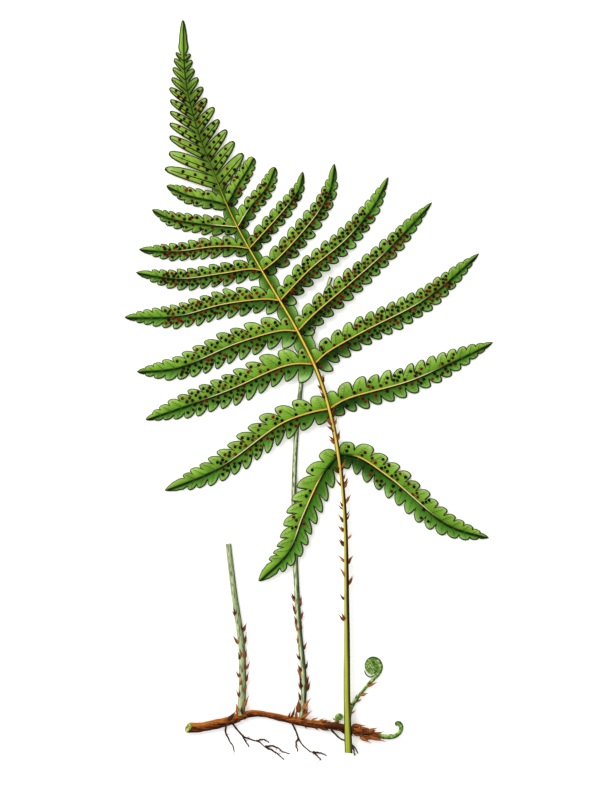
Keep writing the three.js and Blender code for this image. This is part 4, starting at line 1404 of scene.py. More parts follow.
# A scale of unit length along +Y with its back to +Z
def makeScaleForm():
    stations = scales["widths"]
    points, faces = [], []
    for y, share in stations:
        half = scales["width"] / 2 * share
        back = scales["arch"] * math.sin(math.pi * y)
        thick = scales["thickness"] / 2 * max(share, 0.3)
        brim = back - scales["keel"]
        points += [(-half, y, brim), (0, y, back + thick), (half, y, brim), (0, y, back - thick)]
    for i in range(len(stations) - 1):
        for k in range(4):
            low, high = 4 * i, 4 * (i + 1)
            faces.append((low + k, high + k, high + (k + 1) % 4, low + (k + 1) % 4))
    end = 4 * (len(stations) - 1)
    faces += [(0, 1, 2, 3), (end + 3, end + 2, end + 1, end)]
    return meshPiece("scaleForm", np.array(points) / mm, faces)


# Fern scale, papery: orange-brown with a darker point, a little glossy
def makeScaleMaterial():
    material, tree, shader = newMaterial("paperyScale", 0.55, 1.5, Specular_IOR_Level=0.2)
    tone = addNode(tree, "ShaderNodeAttribute", {"attribute_name": "tone"}).outputs["Fac"]
    ramp = addNode(tree, "ShaderNodeValToRGB", links={"Fac": tone},
                   stops=((0.0, "2a1003"), (0.5, "823c10"), (1.0, "be742a")))
    place = addNode(tree, "ShaderNodeTexCoord").outputs["Object"]
    fibre = addNode(tree, "ShaderNodeTexNoise", values={"Scale": 2500, "Detail": 2}, links={"Vector": place})
    fade = addNode(tree, "ShaderNodeMapRange", values={"From Min": 0.4, "From Max": 0.8, "To Max": 0.5},
                   links={"Value": fibre.outputs["Fac"]})
    mottled = addNode(tree, "ShaderNodeMix", {"data_type": "RGBA"}, {"B": linearColour("301404")}, {
        "Factor": fade.outputs["Result"],
        "A": ramp.outputs["Color"],
    })
    tree.links.new(mottled.outputs["Result"], shader.inputs["Base Color"])
    return material


# A scale from its root: which way it points, its length, and how broad it is
def scaleRow(root, aim, length, dice, wide):
    aim = np.array(aim, float)
    aim /= np.linalg.norm(aim)
    back = np.array([dice.normal(0, scales["tilt"]), dice.normal(0, scales["tilt"]), 1.0])
    back -= aim * back.dot(aim)
    size = length * mm
    return (root, aim, back, (size * wide, size, size), dice.uniform(0, 1))


# A scale between two places read from above, at some height, which rises a little along its length
def placedScale(root, point, height, rise, breadths, dice):
    dx, dy = point[0] - root[0], point[1] - root[1]
    length = math.hypot(dx, dy)
    return scaleRow((*root, height), (dx, dy, rise * length), length, dice, dice.uniform(*breadths))


# A scale on a flank of a stem, at a share of its length; its hand is 1 on the right of its travel
def flankScale(line, radii, share, hand, length, dice, spread=scales["spread"]):
    place = atShare(line, share)
    along = atShare(headings(line), share)
    radius = float(np.interp(share, np.linspace(0, 1, len(radii)), radii))
    aside = np.cross(along, (0, 0, 1))
    aside /= np.linalg.norm(aside)
    turn = math.radians(dice.uniform(*scales["turns"]))
    out = hand * math.cos(turn) * aside + math.sin(turn) * np.array((0, 0, 1))
    angle = math.radians(dice.uniform(*spread))
    aim = math.cos(angle) * along + math.sin(angle) * out
    aim[2] = max(aim[2], -0.02)
    root = place + out * radius * scales["rootDepth"]
    return scaleRow(root, aim, length, dice, dice.uniform(*scales["breadths"]))


# Tufts at given heights on both flanks of a stem that runs up the frame
def tuftsAlong(line, radii, rightHeights, leftHeights, lengths, dice, spread=scales["spread"]):
    rows = []
    for hand, heights in ((1, rightHeights), (-1, leftHeights)):
        for height in heights:
            share = shareAtHeight(line, height)
            for _ in range(scales["inTuft"]):
                length = dice.uniform(*lengths)
                at = share + dice.normal(0, scales["tuftJitter"])
                rows.append(flankScale(line, radii, at, hand, length, dice, spread))
    return rows


scaleForm = makeScaleForm()
scaleMaterial = makeScaleMaterial()


def scalesPiece(name, rows):
    finishPiece(formsPiece(name, rows, scaleForm, scaleMaterial), None)


def makeFrondScales():
    dice = np.random.RandomState(41)
    line = rachisLine[rachisLine[:, 1] < 60]
    radii = stalkRadius(line[:, 1])
    route = stalkRoute(line, radii)
    rows = tuftsAlong(route, radii, stalk["rightScales"], stalk["leftScales"], stalk["scaleLength"], dice)
    for height in stalk["smallScales"]:
        for hand in (1, -1):
            length = dice.uniform(*stalk["smallLength"])
            rows.append(flankScale(route, radii, shareAtHeight(line, height), hand, length, dice))
    scalesPiece("frondScales", rows)
    print("frond scales made:", len(rows))


makeFrondScales()

# The creeping rhizome thins behind its old end, and again towards its growing tip
rhizomeBody = {
    "tipLine": [(9.8, -134.3), (18.8, -136.1), (27.6, -137.8)],
    "waist": (0.4, 0.13, 0.6),  # where along it, how long, and by how much it is thinner
    "taper": 0.1,
    "rise": 0.95,  # height of its middle, over its thickness
    "scaleHeight": 2.4,  # of the scales that aren't on it but on the feet of the stipes
    "scaleDepth": 0.1,
}
rhizomeLine = smoothLine([*stems["rhizome"][:-3], *rhizomeBody["tipLine"]], 201)


def rhizomeRadiusAt(share):
    where, length, depth = rhizomeBody["waist"]
    waist = np.exp(-(((share - where) / length) ** 2))
    return stems["rhizomeRadius"] * (1 - rhizomeBody["taper"] * share) - depth * waist


# Height of the scales' roots on the rhizome, or beside it on the stipes
def rhizomeTop(x, y):
    away = np.hypot(rhizomeLine[:, 0] - x, rhizomeLine[:, 1] - y)
    nearest = away.argmin()
    radius = float(rhizomeRadiusAt(nearest / (len(rhizomeLine) - 1)))
    middle = radius * rhizomeBody["rise"]
    if away[nearest] > 0.9 * radius:
        return max(middle, rhizomeBody["scaleHeight"])
    return middle + math.sqrt(radius ** 2 - away[nearest] ** 2) - rhizomeBody["scaleDepth"]


# The two cut stipes of older fronds, grey-green with a bloom
stipes = {
    "sides": 20,
    "steps": 181,
    "rise": 0.9,  # height of the middle, over the thickness
    "long": {
        "taper": 1.4,
        "rightScales": (-86, -91.5, -96.3, -103.6, -112, -117, -119.5),
        "leftScales": (-84.5, -89.5, -94.4, -101.3, -107.8, -112.5, -115.1, -117.4, -120, -124),
        # Its greens across it, from the painted highlight on its left flank to the painted shade on its right
        "skinLitToShaded": (
            (0.0, "949470"), (0.1, "c8d0a2"), (0.26, "d6e0b4"), (0.4, "a4b284"), (0.54, "6c7c52"),
            (0.7, "46562e"), (0.85, "323a1a"), (1.0, "24260e"),
        ),
    },
    "stub": {
        "taper": 0.7,
        "rightScales": (-96.5, -101.3, -107.4, -111.6, -116.6, -120.8),
        "leftScales": (-90, -101.3, -108, -115, -122.7),
        # Its greens across it, from the painted highlight on its left flank to the painted shade on its right
        "skinLitToShaded": (
            (0.0, "a0a07c"), (0.1, "c6cea0"), (0.3, "aab886"), (0.55, "94a673"), (0.76, "7c8c60"),
            (0.9, "565e3c"), (1.0, "3a3c22"),
        ),
    },
    "scaleLength": (3.0, 4.8),
    "scaleSpread": (10, 34),  # degrees away from the stem
    "footRise": 0.06,
    "footBreadths": (1.0, 1.35),
    # Roots and points of the broad scales that wrap the feet of the stipes
    "footScales": [
        ((-26.3, -126.9), (-23.8, -121.6)), ((-32.2, -131.9), (-28.8, -127.7)),
        ((-28.2, -129.4), (-29.2, -124.8)), ((-26.9, -129.6), (-26.6, -125.3)),
        ((-4.3, -128.8), (-3.9, -122.3)), ((-7, -130.8), (-5.5, -125.8)), ((-8.1, -130.8), (-7.2, -127.7)),
        ((-2.4, -127.3), (1.05, -122.7)), ((-3.2, -131.1), (1.6, -127.7)), ((1, -131.9), (3.5, -130.6)),
        ((-5.2, -131.2), (-4.9, -126.6)), ((-1.6, -130.4), (-0.4, -125.6)),
        ((-26.9, -118.5), (-27.2, -114.4)), ((-26.4, -113.5), (-27, -110)),
        ((-26.7, -106.8), (-27.4, -103.6)),
    ],
}


# Glaucous fern stem, matt and grey-green, with fine dark streaks: a painted highlight on its left flank and
# painted shade deepening to dark green on its right; it is paler in its upper part
def makeGreyStemMaterial(kind):
    material, tree, shader = newMaterial("glaucousFernStem" + kind.capitalize(), 0.65, 1.45,
                                         Specular_IOR_Level=0.12)
    place = addNode(tree, "ShaderNodeTexCoord").outputs["Object"]
    stretched = addNode(tree, "ShaderNodeMapping", values={"Scale": (1600, 160, 1600)},
                        links={"Vector": place})
    streak = addNode(tree, "ShaderNodeTexNoise", values={"Scale": 1.0, "Detail": 3},
                     links={"Vector": stretched.outputs["Vector"]})
    aside = addNode(tree, "ShaderNodeAttribute", {"attribute_name": "aside"}).outputs["Fac"]
    # Painted highlight on the left flank and painted shade on the right, broken by the streaks
    spread = addNode(tree, "ShaderNodeMath", {"operation": "MULTIPLY_ADD"}, {1: 1.5}, {
        0: streak.outputs["Fac"],
        2: aside,
    })
    split = addNode(tree, "ShaderNodeSeparateXYZ", links={"Vector": place})
    upperPaling = addNode(tree, "ShaderNodeMapRange", {"interpolation_type": "SMOOTHSTEP"}, {
        "From Min": -0.09, "From Max": -0.06, "To Max": 0.32,
    }, {"Value": split.outputs["Y"]})
    withUpperPaling = addNode(tree, "ShaderNodeMath", {"operation": "SUBTRACT"}, links={
        0: spread.outputs["Value"],
        1: upperPaling.outputs["Result"],
    })
    flank = addNode(tree, "ShaderNodeMapRange", values={"From Min": -0.25, "From Max": 1.75},
                    links={"Value": withUpperPaling.outputs["Value"]})
    ramp = addNode(tree, "ShaderNodeValToRGB", links={"Fac": flank.outputs["Result"]},
                   stops=stipes[kind]["skinLitToShaded"])
    # The streaks are nearly half a millimetre wide, a little coarser than on the plant, so that they show
    thin = addNode(tree, "ShaderNodeMapping", values={"Scale": (2200, 330, 2200)}, links={"Vector": place})
    fleck = addNode(tree, "ShaderNodeTexNoise", values={"Scale": 1.0, "Detail": 1},
                    links={"Vector": thin.outputs["Vector"]})
    where = addNode(tree, "ShaderNodeMapRange", {"interpolation_type": "SMOOTHSTEP"},
                    {"From Min": 0.52, "From Max": 0.6, "To Max": 0.75}, {"Value": fleck.outputs["Fac"]})
    flecked = addNode(tree, "ShaderNodeMix", {"data_type": "RGBA"}, {"B": linearColour("3c4a26")}, {
        "Factor": where.outputs["Result"],
        "A": ramp.outputs["Color"],
    })
    cut = addNode(tree, "ShaderNodeAttribute", {"attribute_name": "cut"}).outputs["Fac"]
    ended = addNode(tree, "ShaderNodeMix", {"data_type": "RGBA"}, {"B": linearColour("d3dcb6")}, {
        "Factor": cut,
        "A": flecked.outputs["Result"],
    })
    tree.links.new(ended.outputs["Result"], shader.inputs["Base Color"])
    bump = addNode(tree, "ShaderNodeBump", values={"Strength": 0.25, "Distance": 0.0001},
                   links={"Height": streak.outputs["Fac"]})
    tree.links.new(bump.outputs["Normal"], shader.inputs["Normal"])
    return material


def makeStipes():
    dice = np.random.RandomState(51)
    rows = []
    # Four low ribs, with faint knots that wind up the stem
    ribs = lambda share, turn: 0.03 * np.cos(4 * turn + 0.4) + 0.012 * np.sin(90 * share + 2 * turn)
    kinds = (
        ("stipeLong", "long", "longStipe", "stipe_long"),
        ("stipeStub", "stub", "stub", "stipe_stub"),
    )
    for name, kind, stem, node in kinds:
        line = smoothLine(stems[stem], stipes["steps"])
        foot, head = stems[stem + "Radius"], stems[stem + "HeadRadius"]
        share = np.linspace(0, 1, len(line))
        radii = mix(foot, head, share ** stipes[kind]["taper"])
        route = np.column_stack([line, radii * stipes["rise"]])
        piece = ringedStem(name, route, radii, stipes["sides"], ribs, cutEnd=True)
        finishPiece(piece, makeGreyStemMaterial(kind), [node])
        right, left = stipes[kind]["rightScales"], stipes[kind]["leftScales"]
        rows += tuftsAlong(route, radii, right, left, stipes["scaleLength"], dice, stipes["scaleSpread"])
    rise, breadths = stipes["footRise"], stipes["footBreadths"]
    for root, point in stipes["footScales"]:
        rows.append(placedScale(root, point, rhizomeTop(*root), rise, breadths, dice))
    scalesPiece("stipeScales", rows)
    print("stipes made")


makeStipes()

# The creeping rhizome, cut at its old end, with its scales and roots
rhizome = {
    "sides": 26,
    "slant": 1.1,
    "slimmer": ((-0.12, 0.3, 0.6), (-0.3, 0.86, 1)),  # each with the shares within which it comes in
    "knots": ((0.035, 57, 0), (0.025, 131, 1)),  # how high, how many along it, and where they begin
    "tipRise": 0.02,
    "tipBreadths": (0.9, 1.25),
    # Roots and points of the broad scales towards the growing tip
    "tipScales": [
        ((17.2, -134.1), (22.7, -133.9)), ((23.6, -136.2), (27.8, -134.6)), ((26.6, -137.3), (30.1, -136.1)),
        ((20.3, -138.4), (24.9, -141)), ((23.9, -138), (30.6, -140.3)), ((17.5, -134.9), (21.3, -136.4)),
        ((21.2, -136.4), (25.6, -137.2)), ((24.8, -137.5), (29, -138.3)), ((17.8, -137.4), (21.9, -138.4)),
        ((20.2, -134.9), (24.2, -135)), ((1.9, -131.5), (4, -130.3)), ((4.8, -132.2), (8.6, -131.8)),
        ((21.7, -138.6), (27, -139.6)), ((26.1, -138.3), (30.4, -139.1)),
    ],
    "looseScales": 32,
    "looseWithin": (0.66, 0.99),
    "tuftScales": 4,
    "tufts": (0.27, 0.58),
    "looseLength": (1.6, 3.2),
    "looseSpread": (12, 40),
    "rootRadius": 0.42,
    "rootTaper": (1.1, 0.5),
    "rootSteps": 14,  # between two of its places
    "rootSides": 7,
    "rootletAngle": (0.4, 1),
    "rootletLength": (0.8, 2.4),
    "rootletRadii": (0.09, 0.08, 0.06, 0.03),
    "rootletHeight": 0.2,
    "roots": [
        [(-33.2, -133), (-33.2, -137.3), (-32, -139.9), (-30.8, -141.9), (-29.7, -144.7)],
        [(-31.4, -132.4), (-28, -136.7), (-25.6, -139), (-20.4, -140.7), (-17, -143.1)],
        [(-26.6, -138.2), (-25.4, -140.5), (-23.8, -142.9)],
        [(-21, -140.5), (-18.6, -139.8), (-15.8, -141.1)],
        [(-17.6, -142.7), (-15.2, -142.4), (-12.6, -143.1), (-10.6, -144.7), (-7.8, -145.5)],
        [(-17.4, -142.8), (-13.8, -144.7), (-12, -146.1), (-10, -147.9)],
        [(-7.4, -132.2), (-5.2, -136.5), (-4.1, -139.7), (-0.4, -144.1), (2.2, -145.1)],
        [(-4.2, -139.2), (-5.2, -141.5), (-4.4, -144.7)],
        [(1.8, -144.9), (4.8, -145.3), (7.2, -146.3)],
        [(1.6, -144.8), (3.4, -146.5), (5, -148.1)],
        [(8, -134.4), (10.4, -137.7), (14.4, -140.5), (17.2, -141.9), (19.8, -145.5)],
        [(17, -141.6), (17.8, -143.6), (18.2, -146.3)],
    ],
}


# Woody rhizome skin, rough and fibrous: orange-brown, with dark furrows; painted light makes its upper
# flank paler and painted shade makes its lower flank dark
def makeRhizomeMaterial():
    material, tree, shader = newMaterial("fibrousRhizomeSkin", 0.82, 1.5, Specular_IOR_Level=0.12)
    place = addNode(tree, "ShaderNodeTexCoord").outputs["Object"]
    stretched = addNode(tree, "ShaderNodeMapping", values={"Scale": (320, 1900, 1900)},
                        links={"Vector": place})
    fibre = addNode(tree, "ShaderNodeTexNoise", values={"Scale": 1.0, "Detail": 5, "Roughness": 0.65},
                    links={"Vector": stretched.outputs["Vector"]})
    aside = addNode(tree, "ShaderNodeAttribute", {"attribute_name": "aside"}).outputs["Fac"]
    # Painted light on its upper flank and painted shade on its lower flank, over the fibres
    spread = addNode(tree, "ShaderNodeMath", {"operation": "MULTIPLY_ADD"}, {1: -0.2}, {
        0: aside,
        2: fibre.outputs["Fac"],
    })
    ramp = addNode(tree, "ShaderNodeValToRGB", links={"Fac": spread.outputs["Value"]},
                   stops=((0.32, "0c0300"), (0.44, "441a05"), (0.56, "84420e"), (0.75, "b46e26")))
    # Painted shadow, nearly black, where the young fronds and the cut frond cross it
    along = addNode(tree, "ShaderNodeAttribute", {"attribute_name": "along"}).outputs["Fac"]
    crossingShadow = addNode(tree, "ShaderNodeValToRGB", links={"Fac": along}, stops=(
        (0.7, "000000"), (0.75, "e0e0e0"), (0.83, "e0e0e0"), (0.88, "000000"),
    ))
    shadowedSkin = addNode(tree, "ShaderNodeMix", {"data_type": "RGBA"}, {"B": linearColour("1c0a03")}, {
        "Factor": crossingShadow.outputs["Color"],
        "A": ramp.outputs["Color"],
    })
    # The cut face is fresh and green, with darker bundles in it
    pith = addNode(tree, "ShaderNodeTexNoise", values={"Scale": 1100, "Detail": 1}, links={"Vector": place})
    face = addNode(tree, "ShaderNodeValToRGB", links={"Fac": pith.outputs["Fac"]},
                   stops=((0.38, "4e5c14"), (0.5, "93a634"), (0.62, "c6d078")))
    cut = addNode(tree, "ShaderNodeAttribute", {"attribute_name": "cut"}).outputs["Fac"]
    ended = addNode(tree, "ShaderNodeMix", {"data_type": "RGBA"}, links={
        "Factor": cut,
        "A": shadowedSkin.outputs["Result"],
        "B": face.outputs["Color"],
    })
    tree.links.new(ended.outputs["Result"], shader.inputs["Base Color"])
    bump = addNode(tree, "ShaderNodeBump", values={"Strength": 0.6, "Distance": 0.0003},
                   links={"Height": fibre.outputs["Fac"]})
    tree.links.new(bump.outputs["Normal"], shader.inputs["Normal"])
    return material


# Fern root, wiry and dry: dark brown
def makeRootMaterial():
    material, tree, shader = newMaterial("wiryRoot", 0.8, 1.5, Specular_IOR_Level=0.1)
    place = addNode(tree, "ShaderNodeTexCoord").outputs["Object"]
    patch = addNode(tree, "ShaderNodeTexNoise", values={"Scale": 700, "Detail": 3}, links={"Vector": place})
    colour = addNode(tree, "ShaderNodeMix", {"data_type": "RGBA"},
                     {"A": linearColour("080200"), "B": linearColour("522c08")},
                     {"Factor": patch.outputs["Fac"]})
    tree.links.new(colour.outputs["Result"], shader.inputs["Base Color"])
    return material


# A root, knotty and a little crooked, with a few rootlets that leave it to one side or the other
def rootRows(places, dice):
    count = rhizome["rootSteps"] * (len(places) - 1)
    steps = np.linspace(0, 1, count)
    swollen = 1 + 0.1 * np.sin(steps * 40 + places[0][0])
    girth = rhizome["rootRadius"] * mix(*rhizome["rootTaper"], steps ** 0.7) * swollen
    girth[-1] *= 0.4
    crooked = 0.1 * np.column_stack([np.sin(steps * 19 + places[0][1]), np.cos(steps * 23)])
    path = smoothLine(places, count) + crooked
    rows = [(np.column_stack([path, girth + 0.03]), girth, {})]
    radii = np.array(rhizome["rootletRadii"])
    part = np.linspace(0, 1, len(radii))[:, None]
    for _ in range(len(places) // 2):
        start = dice.randint(count // 3, count - 2)
        along = path[start + 1] - path[start]
        turn = dice.choice((-1, 1)) * dice.uniform(*rhizome["rootletAngle"])
        heading = math.atan2(along[1], along[0]) + turn
        length = dice.uniform(*rhizome["rootletLength"])
        out = np.array([math.cos(heading), math.sin(heading)])
        bend = np.array([-out[1], out[0]]) * dice.uniform(-0.4, 0.4)
        rootlet = path[start] + length * (out * part + bend * part ** 2)
        rows.append((np.column_stack([rootlet, np.full(len(radii), rhizome["rootletHeight"])]), radii, {}))
    return rows


def makeRhizome():
    share = np.linspace(0, 1, len(rhizomeLine))
    solid = rhizomeRadiusAt(share)
    slim = 1
    for change, low, high in rhizome["slimmer"]:
        slim = slim + change * ease(share, low, high)
    knotty = 1
    for high, count, start in rhizome["knots"]:
        knotty = knotty + high * np.sin(share * count + start)
    radii = solid * slim * knotty
    route = np.column_stack([rhizomeLine, solid * rhizomeBody["rise"]])
    # Three sets of ridges round it, which wind along it
    ridges = lambda s, turn: (0.035 * np.sin(7 * turn + 9 * s) + 0.03 * np.sin(3 * turn + 40 * s)
                              + 0.02 * np.sin(11 * turn - 70 * s))
    piece = ringedStem("rhizomeStem", route, radii, rhizome["sides"], ridges, cutStart=True,
                       slant=rhizome["slant"])
    finishPiece(piece, makeRhizomeMaterial(), ["rhizome"])

    dice = np.random.RandomState(61)
    rows = []
    for places in rhizome["roots"]:
        rows += rootRows(places, dice)
    roots = stemsPiece("roots", rows, rhizome["rootSides"], makeRootMaterial())
    finishPiece(roots, None)

    scaleRows = []
    rise, breadths = rhizome["tipRise"], rhizome["tipBreadths"]
    for root, point in rhizome["tipScales"]:
        scaleRows.append(placedScale(root, point, rhizomeTop(*root), rise, breadths, dice))
    low, high = rhizome["looseWithin"]
    shares = [low + (high - low) * dice.rand(rhizome["looseScales"])]
    shares += [dice.normal(tuft, 0.02, rhizome["tuftScales"]) for tuft in rhizome["tufts"]]
    for scaleShare in np.concatenate(shares):
        hand = dice.choice((-1, 1))
        length = dice.uniform(*rhizome["looseLength"])
        scaleRows.append(flankScale(route, radii, scaleShare, hand, length, dice, rhizome["looseSpread"]))
    scalesPiece("rhizomeScales", scaleRows)
    print("rhizome made")


makeRhizome()

# The croziers: young fronds still coiled
croziers = {
    "coilCentre": (25.5, -110.6),
    "coilOuter": 3.25,
    "coilInner": 0.35,
    "coilTurns": 1.75,
    "placesInTurn": 8,
    "coilHeight": 1.12,  # its height over its width
    "tall": [(15.6, -132.7), (16.6, -127.6), (19.1, -123.5), (22.7, -118.9), (26.2, -115.2), (28, -113.2)],
    "budCentre": (12.2, -130.9),
    "budStalk": (11.3, -133.6),
    "budRadii": (0.5, 1.25),
    "budTurn": (200, -150, -50),  # degrees from its stalk to its middle, and between two places
    "tip": [
        (26.8, -137.7), (28.2, -138.2), (30.1, -138.5), (32.2, -138.7), (34.4, -138.3), (35.9, -137.3),
        (36.8, -135.9), (36.9, -134.4), (36.2, -133.3), (35.1, -133.3), (35, -134.2),
    ],
    # The rolled pinnae lie as arcs across the coil, bent round a point to its upper right
    "arcsFrom": (2.6, 2.8),
    "arcRadii": (1.1, 1.9, 2.7, 3.5, 4.3, 5.1, 5.9, 6.7),
    "arcSpan": (130, 350),
    "arcSteps": 90,
    "arcThickness": 0.33,
    "arcHeight": 1.3,
    "arcSwell": 0.35,  # how much higher they are in the middle of the coil
    "arcsWithin": 3.1,
    # How far the arcs sit towards the painted-lit side of the young stems' finish
    "arcShading": -0.2,
    "outerPinna": [(22.1, -112.2), (22.9, -113.9), (24.4, -114.8), (25.9, -114.4), (27, -113.6)],
    "outerThickness": 0.26,
    "outerHeight": 0.5,
    # How far the outer pinna sits in the painted shade of the young stems' finish
    "outerShading": 0.6,
    "stemSides": 16,
    "arcSides": 8,
    "leastHeight": 0.7,
    "endSteps": 8,
    "endGirth": 0.7,
    "knobGap": 1.15,
    "knobSizes": (0.4, 0.52),
    "knobForm": (1, 1.5, 0.8),
    "knobDepth": 0.55,
    "scaleLength": (1.4, 2.6),
    "stalkHeight": 1.5,
    "stalkRise": 0.05,
    "stalkBreadths": (0.8, 1.2),
    # Roots and points of the scales on the stalk of the tall one
    "stalkScales": [
        ((18.4, -123.4), (19.2, -121.3)), ((20.6, -122), (24.2, -121)), ((20.9, -122.2), (22.9, -121.9)),
        ((23.6, -118.5), (27.9, -116.5)), ((23.9, -118.2), (26, -117.8)), ((16.5, -129.5), (19.1, -127.5)),
        ((16.8, -126.1), (16.5, -124)), ((17.6, -125.4), (19.8, -124.6)), ((20.2, -121.8), (20.4, -120.2)),
    ],
}


# Young fern stem, soft and downy: fresh green, paler above as painted light and dark along its lower
# flank as painted shade
def makeYoungMaterial():
    material, tree, shader = newMaterial("youngFernStem", 0.6, 1.42, Specular_IOR_Level=0.15)
    place = addNode(tree, "ShaderNodeTexCoord").outputs["Object"]
    patch = addNode(tree, "ShaderNodeTexNoise", values={"Scale": 900, "Detail": 3}, links={"Vector": place})
    aside = addNode(tree, "ShaderNodeAttribute", {"attribute_name": "aside"}).outputs["Fac"]
    # Painted light on one flank and painted shade on the other, over a fine patchy green
    spread = addNode(tree, "ShaderNodeMath", {"operation": "MULTIPLY_ADD"}, {1: -0.26}, {
        0: aside,
        2: patch.outputs["Fac"],
    })
    ramp = addNode(tree, "ShaderNodeValToRGB", links={"Fac": spread.outputs["Value"]},
                   stops=((0.24, "0c1a04"), (0.36, "386014"), (0.55, "6e963a"), (0.72, "b4c884")))
    tree.links.new(ramp.outputs["Color"], shader.inputs["Base Color"])
    bump = addNode(tree, "ShaderNodeBump", values={"Strength": 0.3, "Distance": 0.0001},
                   links={"Height": patch.outputs["Fac"]})
    tree.links.new(bump.outputs["Normal"], shader.inputs["Normal"])
    return material


def coilPlaces():
    count = round(croziers["coilTurns"] * croziers["placesInTurn"])
    places = []
    for i in range(count + 1):
        turn = i / count * croziers["coilTurns"] * 2 * math.pi
        reach = mix(croziers["coilOuter"], croziers["coilInner"], i / count)
        places.append((croziers["coilCentre"][0] + reach * math.cos(turn),
                       croziers["coilCentre"][1] + reach * math.sin(turn) * croziers["coilHeight"]))
    return places


# The bud is rolled up over its own stalk
def budPlaces():
    places = [croziers["budStalk"]]
    first, last, step = croziers["budTurn"]
    for degrees in range(first, last, step):
        turn = math.radians(degrees)
        reach = mix(*croziers["budRadii"], (degrees - last) / (first - last))
        places.append((croziers["budCentre"][0] + reach * math.cos(turn),
                       croziers["budCentre"][1] + reach * math.sin(turn)))
    return places


# How thick a rolled pinna is along its length: it is round at both ends
def rolledGirth(thickness, count, end):
    return thickness * np.sin(np.linspace(end, math.pi - end, count)) ** 0.5


# Arcs of rolled pinnae over a coil, highest in its middle
def arcRows():
    rows = []
    cx, cy = croziers["coilCentre"]
    dx, dy = croziers["arcsFrom"]
    turn = np.radians(np.linspace(*croziers["arcSpan"], croziers["arcSteps"]))
    for radius in croziers["arcRadii"]:
        x = cx + dx + radius * np.cos(turn)
        y = cy + dy + radius * np.sin(turn)
        away = np.hypot(x - cx, (y - cy) / croziers["coilHeight"])
        inside = away < croziers["arcsWithin"]
        if inside.sum() < 4:
            continue
        x, y, away = x[inside][::3], y[inside][::3], away[inside][::3]
        z = croziers["arcHeight"] + croziers["arcSwell"] * (1 - (away / 3.4) ** 2)
        girth = rolledGirth(croziers["arcThickness"], len(x), 0.35)
        rows.append((np.column_stack([x, y, z]), girth, {"aside": np.full(len(x), croziers["arcShading"])}))
    line = smoothLine(croziers["outerPinna"], 24)
    route = np.column_stack([line, np.full(len(line), croziers["outerHeight"])])
    girth = rolledGirth(croziers["outerThickness"], len(line), 0.3)
    rows.append((route, girth, {"aside": np.full(len(line), croziers["outerShading"])}))
    return rows


# The rolled pinnae of a crozier: small knobs that sit along the inner side of its coil
def makeKnobForm():
    bpy.ops.mesh.primitive_uv_sphere_add(segments=10, ring_count=6, radius=1)
    return bpy.context.object


def makeCroziers():
    material = makeYoungMaterial()
    dice = np.random.RandomState(71)
    knob = makeKnobForm()
    # Fine rings, and three low ribs
    rings = lambda share, turn: 0.03 * np.sin(140 * share) + 0.03 * np.cos(3 * turn)
    # Each with its node, its line, its steps and its thickness from foot to end, where its knobs begin and
    # which way they look, how many scales it has and how far up
    tall = croziers["tall"] + coilPlaces()
    kinds = (
        ("crozierTall", "crozier_tall", tall, 240, (1.05, 0.6, 0.74, 0.8, 0.7), (0.52, 1), (5, 0.42)),
        ("crozierBud", "crozier_bud", budPlaces(), 80, (0.7, 0.72, 0.74, 0.7, 0.6), (0.3, -1), (5, 0.5)),
        ("crozierTip", "crozier_tip", croziers["tip"], 120, (0.95, 1.0, 0.95, 0.82, 0.74, 0.76),
         (0.72, 1), (2, 0.5)),
    )
    height, rise, breadths = croziers["stalkHeight"], croziers["stalkRise"], croziers["stalkBreadths"]
    knobRows = []
    scaleRows = [placedScale(*ends, height, rise, breadths, dice) for ends in croziers["stalkScales"]]
    for name, node, places, steps, girths, (knobsFrom, inner), (scaleCount, scalesTo) in kinds:
        line = smoothLine(places, steps)
        share = np.linspace(0, 1, steps)
        radii = np.interp(share, np.linspace(0, 1, len(girths)), girths)
        radii[-croziers["endSteps"]:] *= np.linspace(1, croziers["endGirth"], croziers["endSteps"])
        route = np.column_stack([line, np.maximum(radii, croziers["leastHeight"])])
        piece = ringedStem(name, route, radii, croziers["stemSides"], rings)
        finishPiece(piece, material, [node])
        ahead = headings(route)
        for at in np.arange(knobsFrom, 0.97, croziers["knobGap"] / (steps * 0.16)):
            along = atShare(ahead, at)
            inward = np.array([-along[1], along[0], 0]) * inner
            back = np.array([0, 0, 1.0])
            depth = float(np.interp(at, share, radii)) * croziers["knobDepth"]
            size = dice.uniform(*croziers["knobSizes"])
            spot = atShare(route, at) + inward * depth + back * depth
            knobRows.append((spot, inward, back, [size * part * mm for part in croziers["knobForm"]], 0.5))
        for _ in range(scaleCount):
            at = dice.uniform(0.12, scalesTo)
            hand, length = dice.choice((-1, 1)), dice.uniform(*croziers["scaleLength"])
            scaleRows.append(flankScale(route, radii, at, hand, length, dice))
    piece = formsPiece("crozierKnobs", knobRows, knob, material)
    finishPiece(piece, None)
    piece = stemsPiece("crozierArcs", arcRows(), croziers["arcSides"], material)
    finishPiece(piece, None)
    scalesPiece("crozierScales", scaleRows)
    bpy.data.objects.remove(knob)
    print("croziers made:", len(knobRows), "knobs")


makeCroziers()
bpy.data.objects.remove(scaleForm)


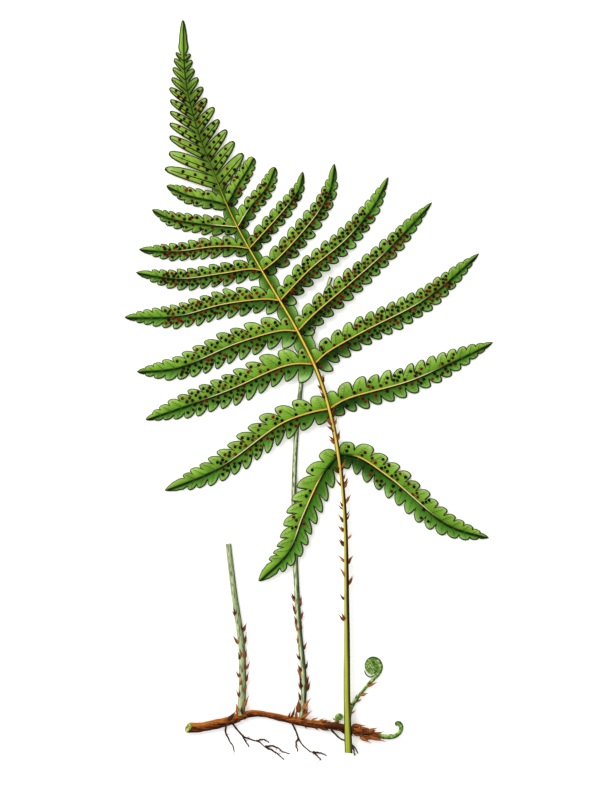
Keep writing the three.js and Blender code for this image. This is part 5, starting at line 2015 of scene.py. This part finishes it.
# Fine pale hairs along the margins of the lamina, drawn about twice as thick as they are, so that they show
hairs = {
    "length": (0.5, 1.1),
    "radius": 0.05,
    "first": 0.3,
    "spacing": 0.55,
    "shift": 0.2,
    "stray": 0.25,
    "flatness": 0.5,
    "rootDepth": 0.08,
}


def makeHairForm():
    bpy.ops.mesh.primitive_cone_add(vertices=3, radius1=1, radius2=0, depth=1, location=(0, 0, 0))
    form = bpy.context.object
    for vertex in form.data.vertices:
        x, y, z = vertex.co
        vertex.co = (x, z + 0.5, -y)
    return form


# Needle hair of a fern, clear and stiff: pale straw
def makeHairMaterial():
    material, tree, shader = newMaterial("needleHair", 0.4, 1.5)
    tone = addNode(tree, "ShaderNodeAttribute", {"attribute_name": "tone"}).outputs["Fac"]
    colour = addNode(tree, "ShaderNodeMix", {"data_type": "RGBA"},
                     {"A": linearColour("b9a86a"), "B": linearColour("e6dfc0")}, {"Factor": tone})
    tree.links.new(colour.outputs["Result"], shader.inputs["Base Color"])
    return material


def makeHairs():
    dice = np.random.RandomState(81)
    form = makeHairForm()
    rows = []
    for pinna in pinnae:
        columns = pinna["columns"]
        for side in (1, -1):
            ends = columns["ends"][side]
            outer = leafPlace(pinna, columns["share"], side, ends, columns["lateral"][side])
            inner = leafPlace(pinna, columns["share"], side, ends * 0.9, columns["lateral"][side])
            gone = lengthsAlong(outer)
            for stop in np.arange(hairs["first"], gone[-1], hairs["spacing"]):
                stop += dice.uniform(-hairs["shift"], hairs["shift"])
                place = placesAt(stop, gone, outer)
                out = place - placesAt(stop, gone, inner)
                out = out / np.linalg.norm(out) + dice.normal(0, hairs["stray"], 3)
                out[2] = abs(out[2]) * hairs["flatness"]
                length = dice.uniform(*hairs["length"])
                size = [s * mm for s in (hairs["radius"], length, hairs["radius"])]
                rows.append((place - (0, 0, hairs["rootDepth"]), out, (0, 0, 1), size, dice.rand()))
    piece = formsPiece("laminaHairs", rows, form, makeHairMaterial())
    finishPiece(piece, None)
    bpy.data.objects.remove(form)
    print("hairs made:", len(rows))


makeHairs()
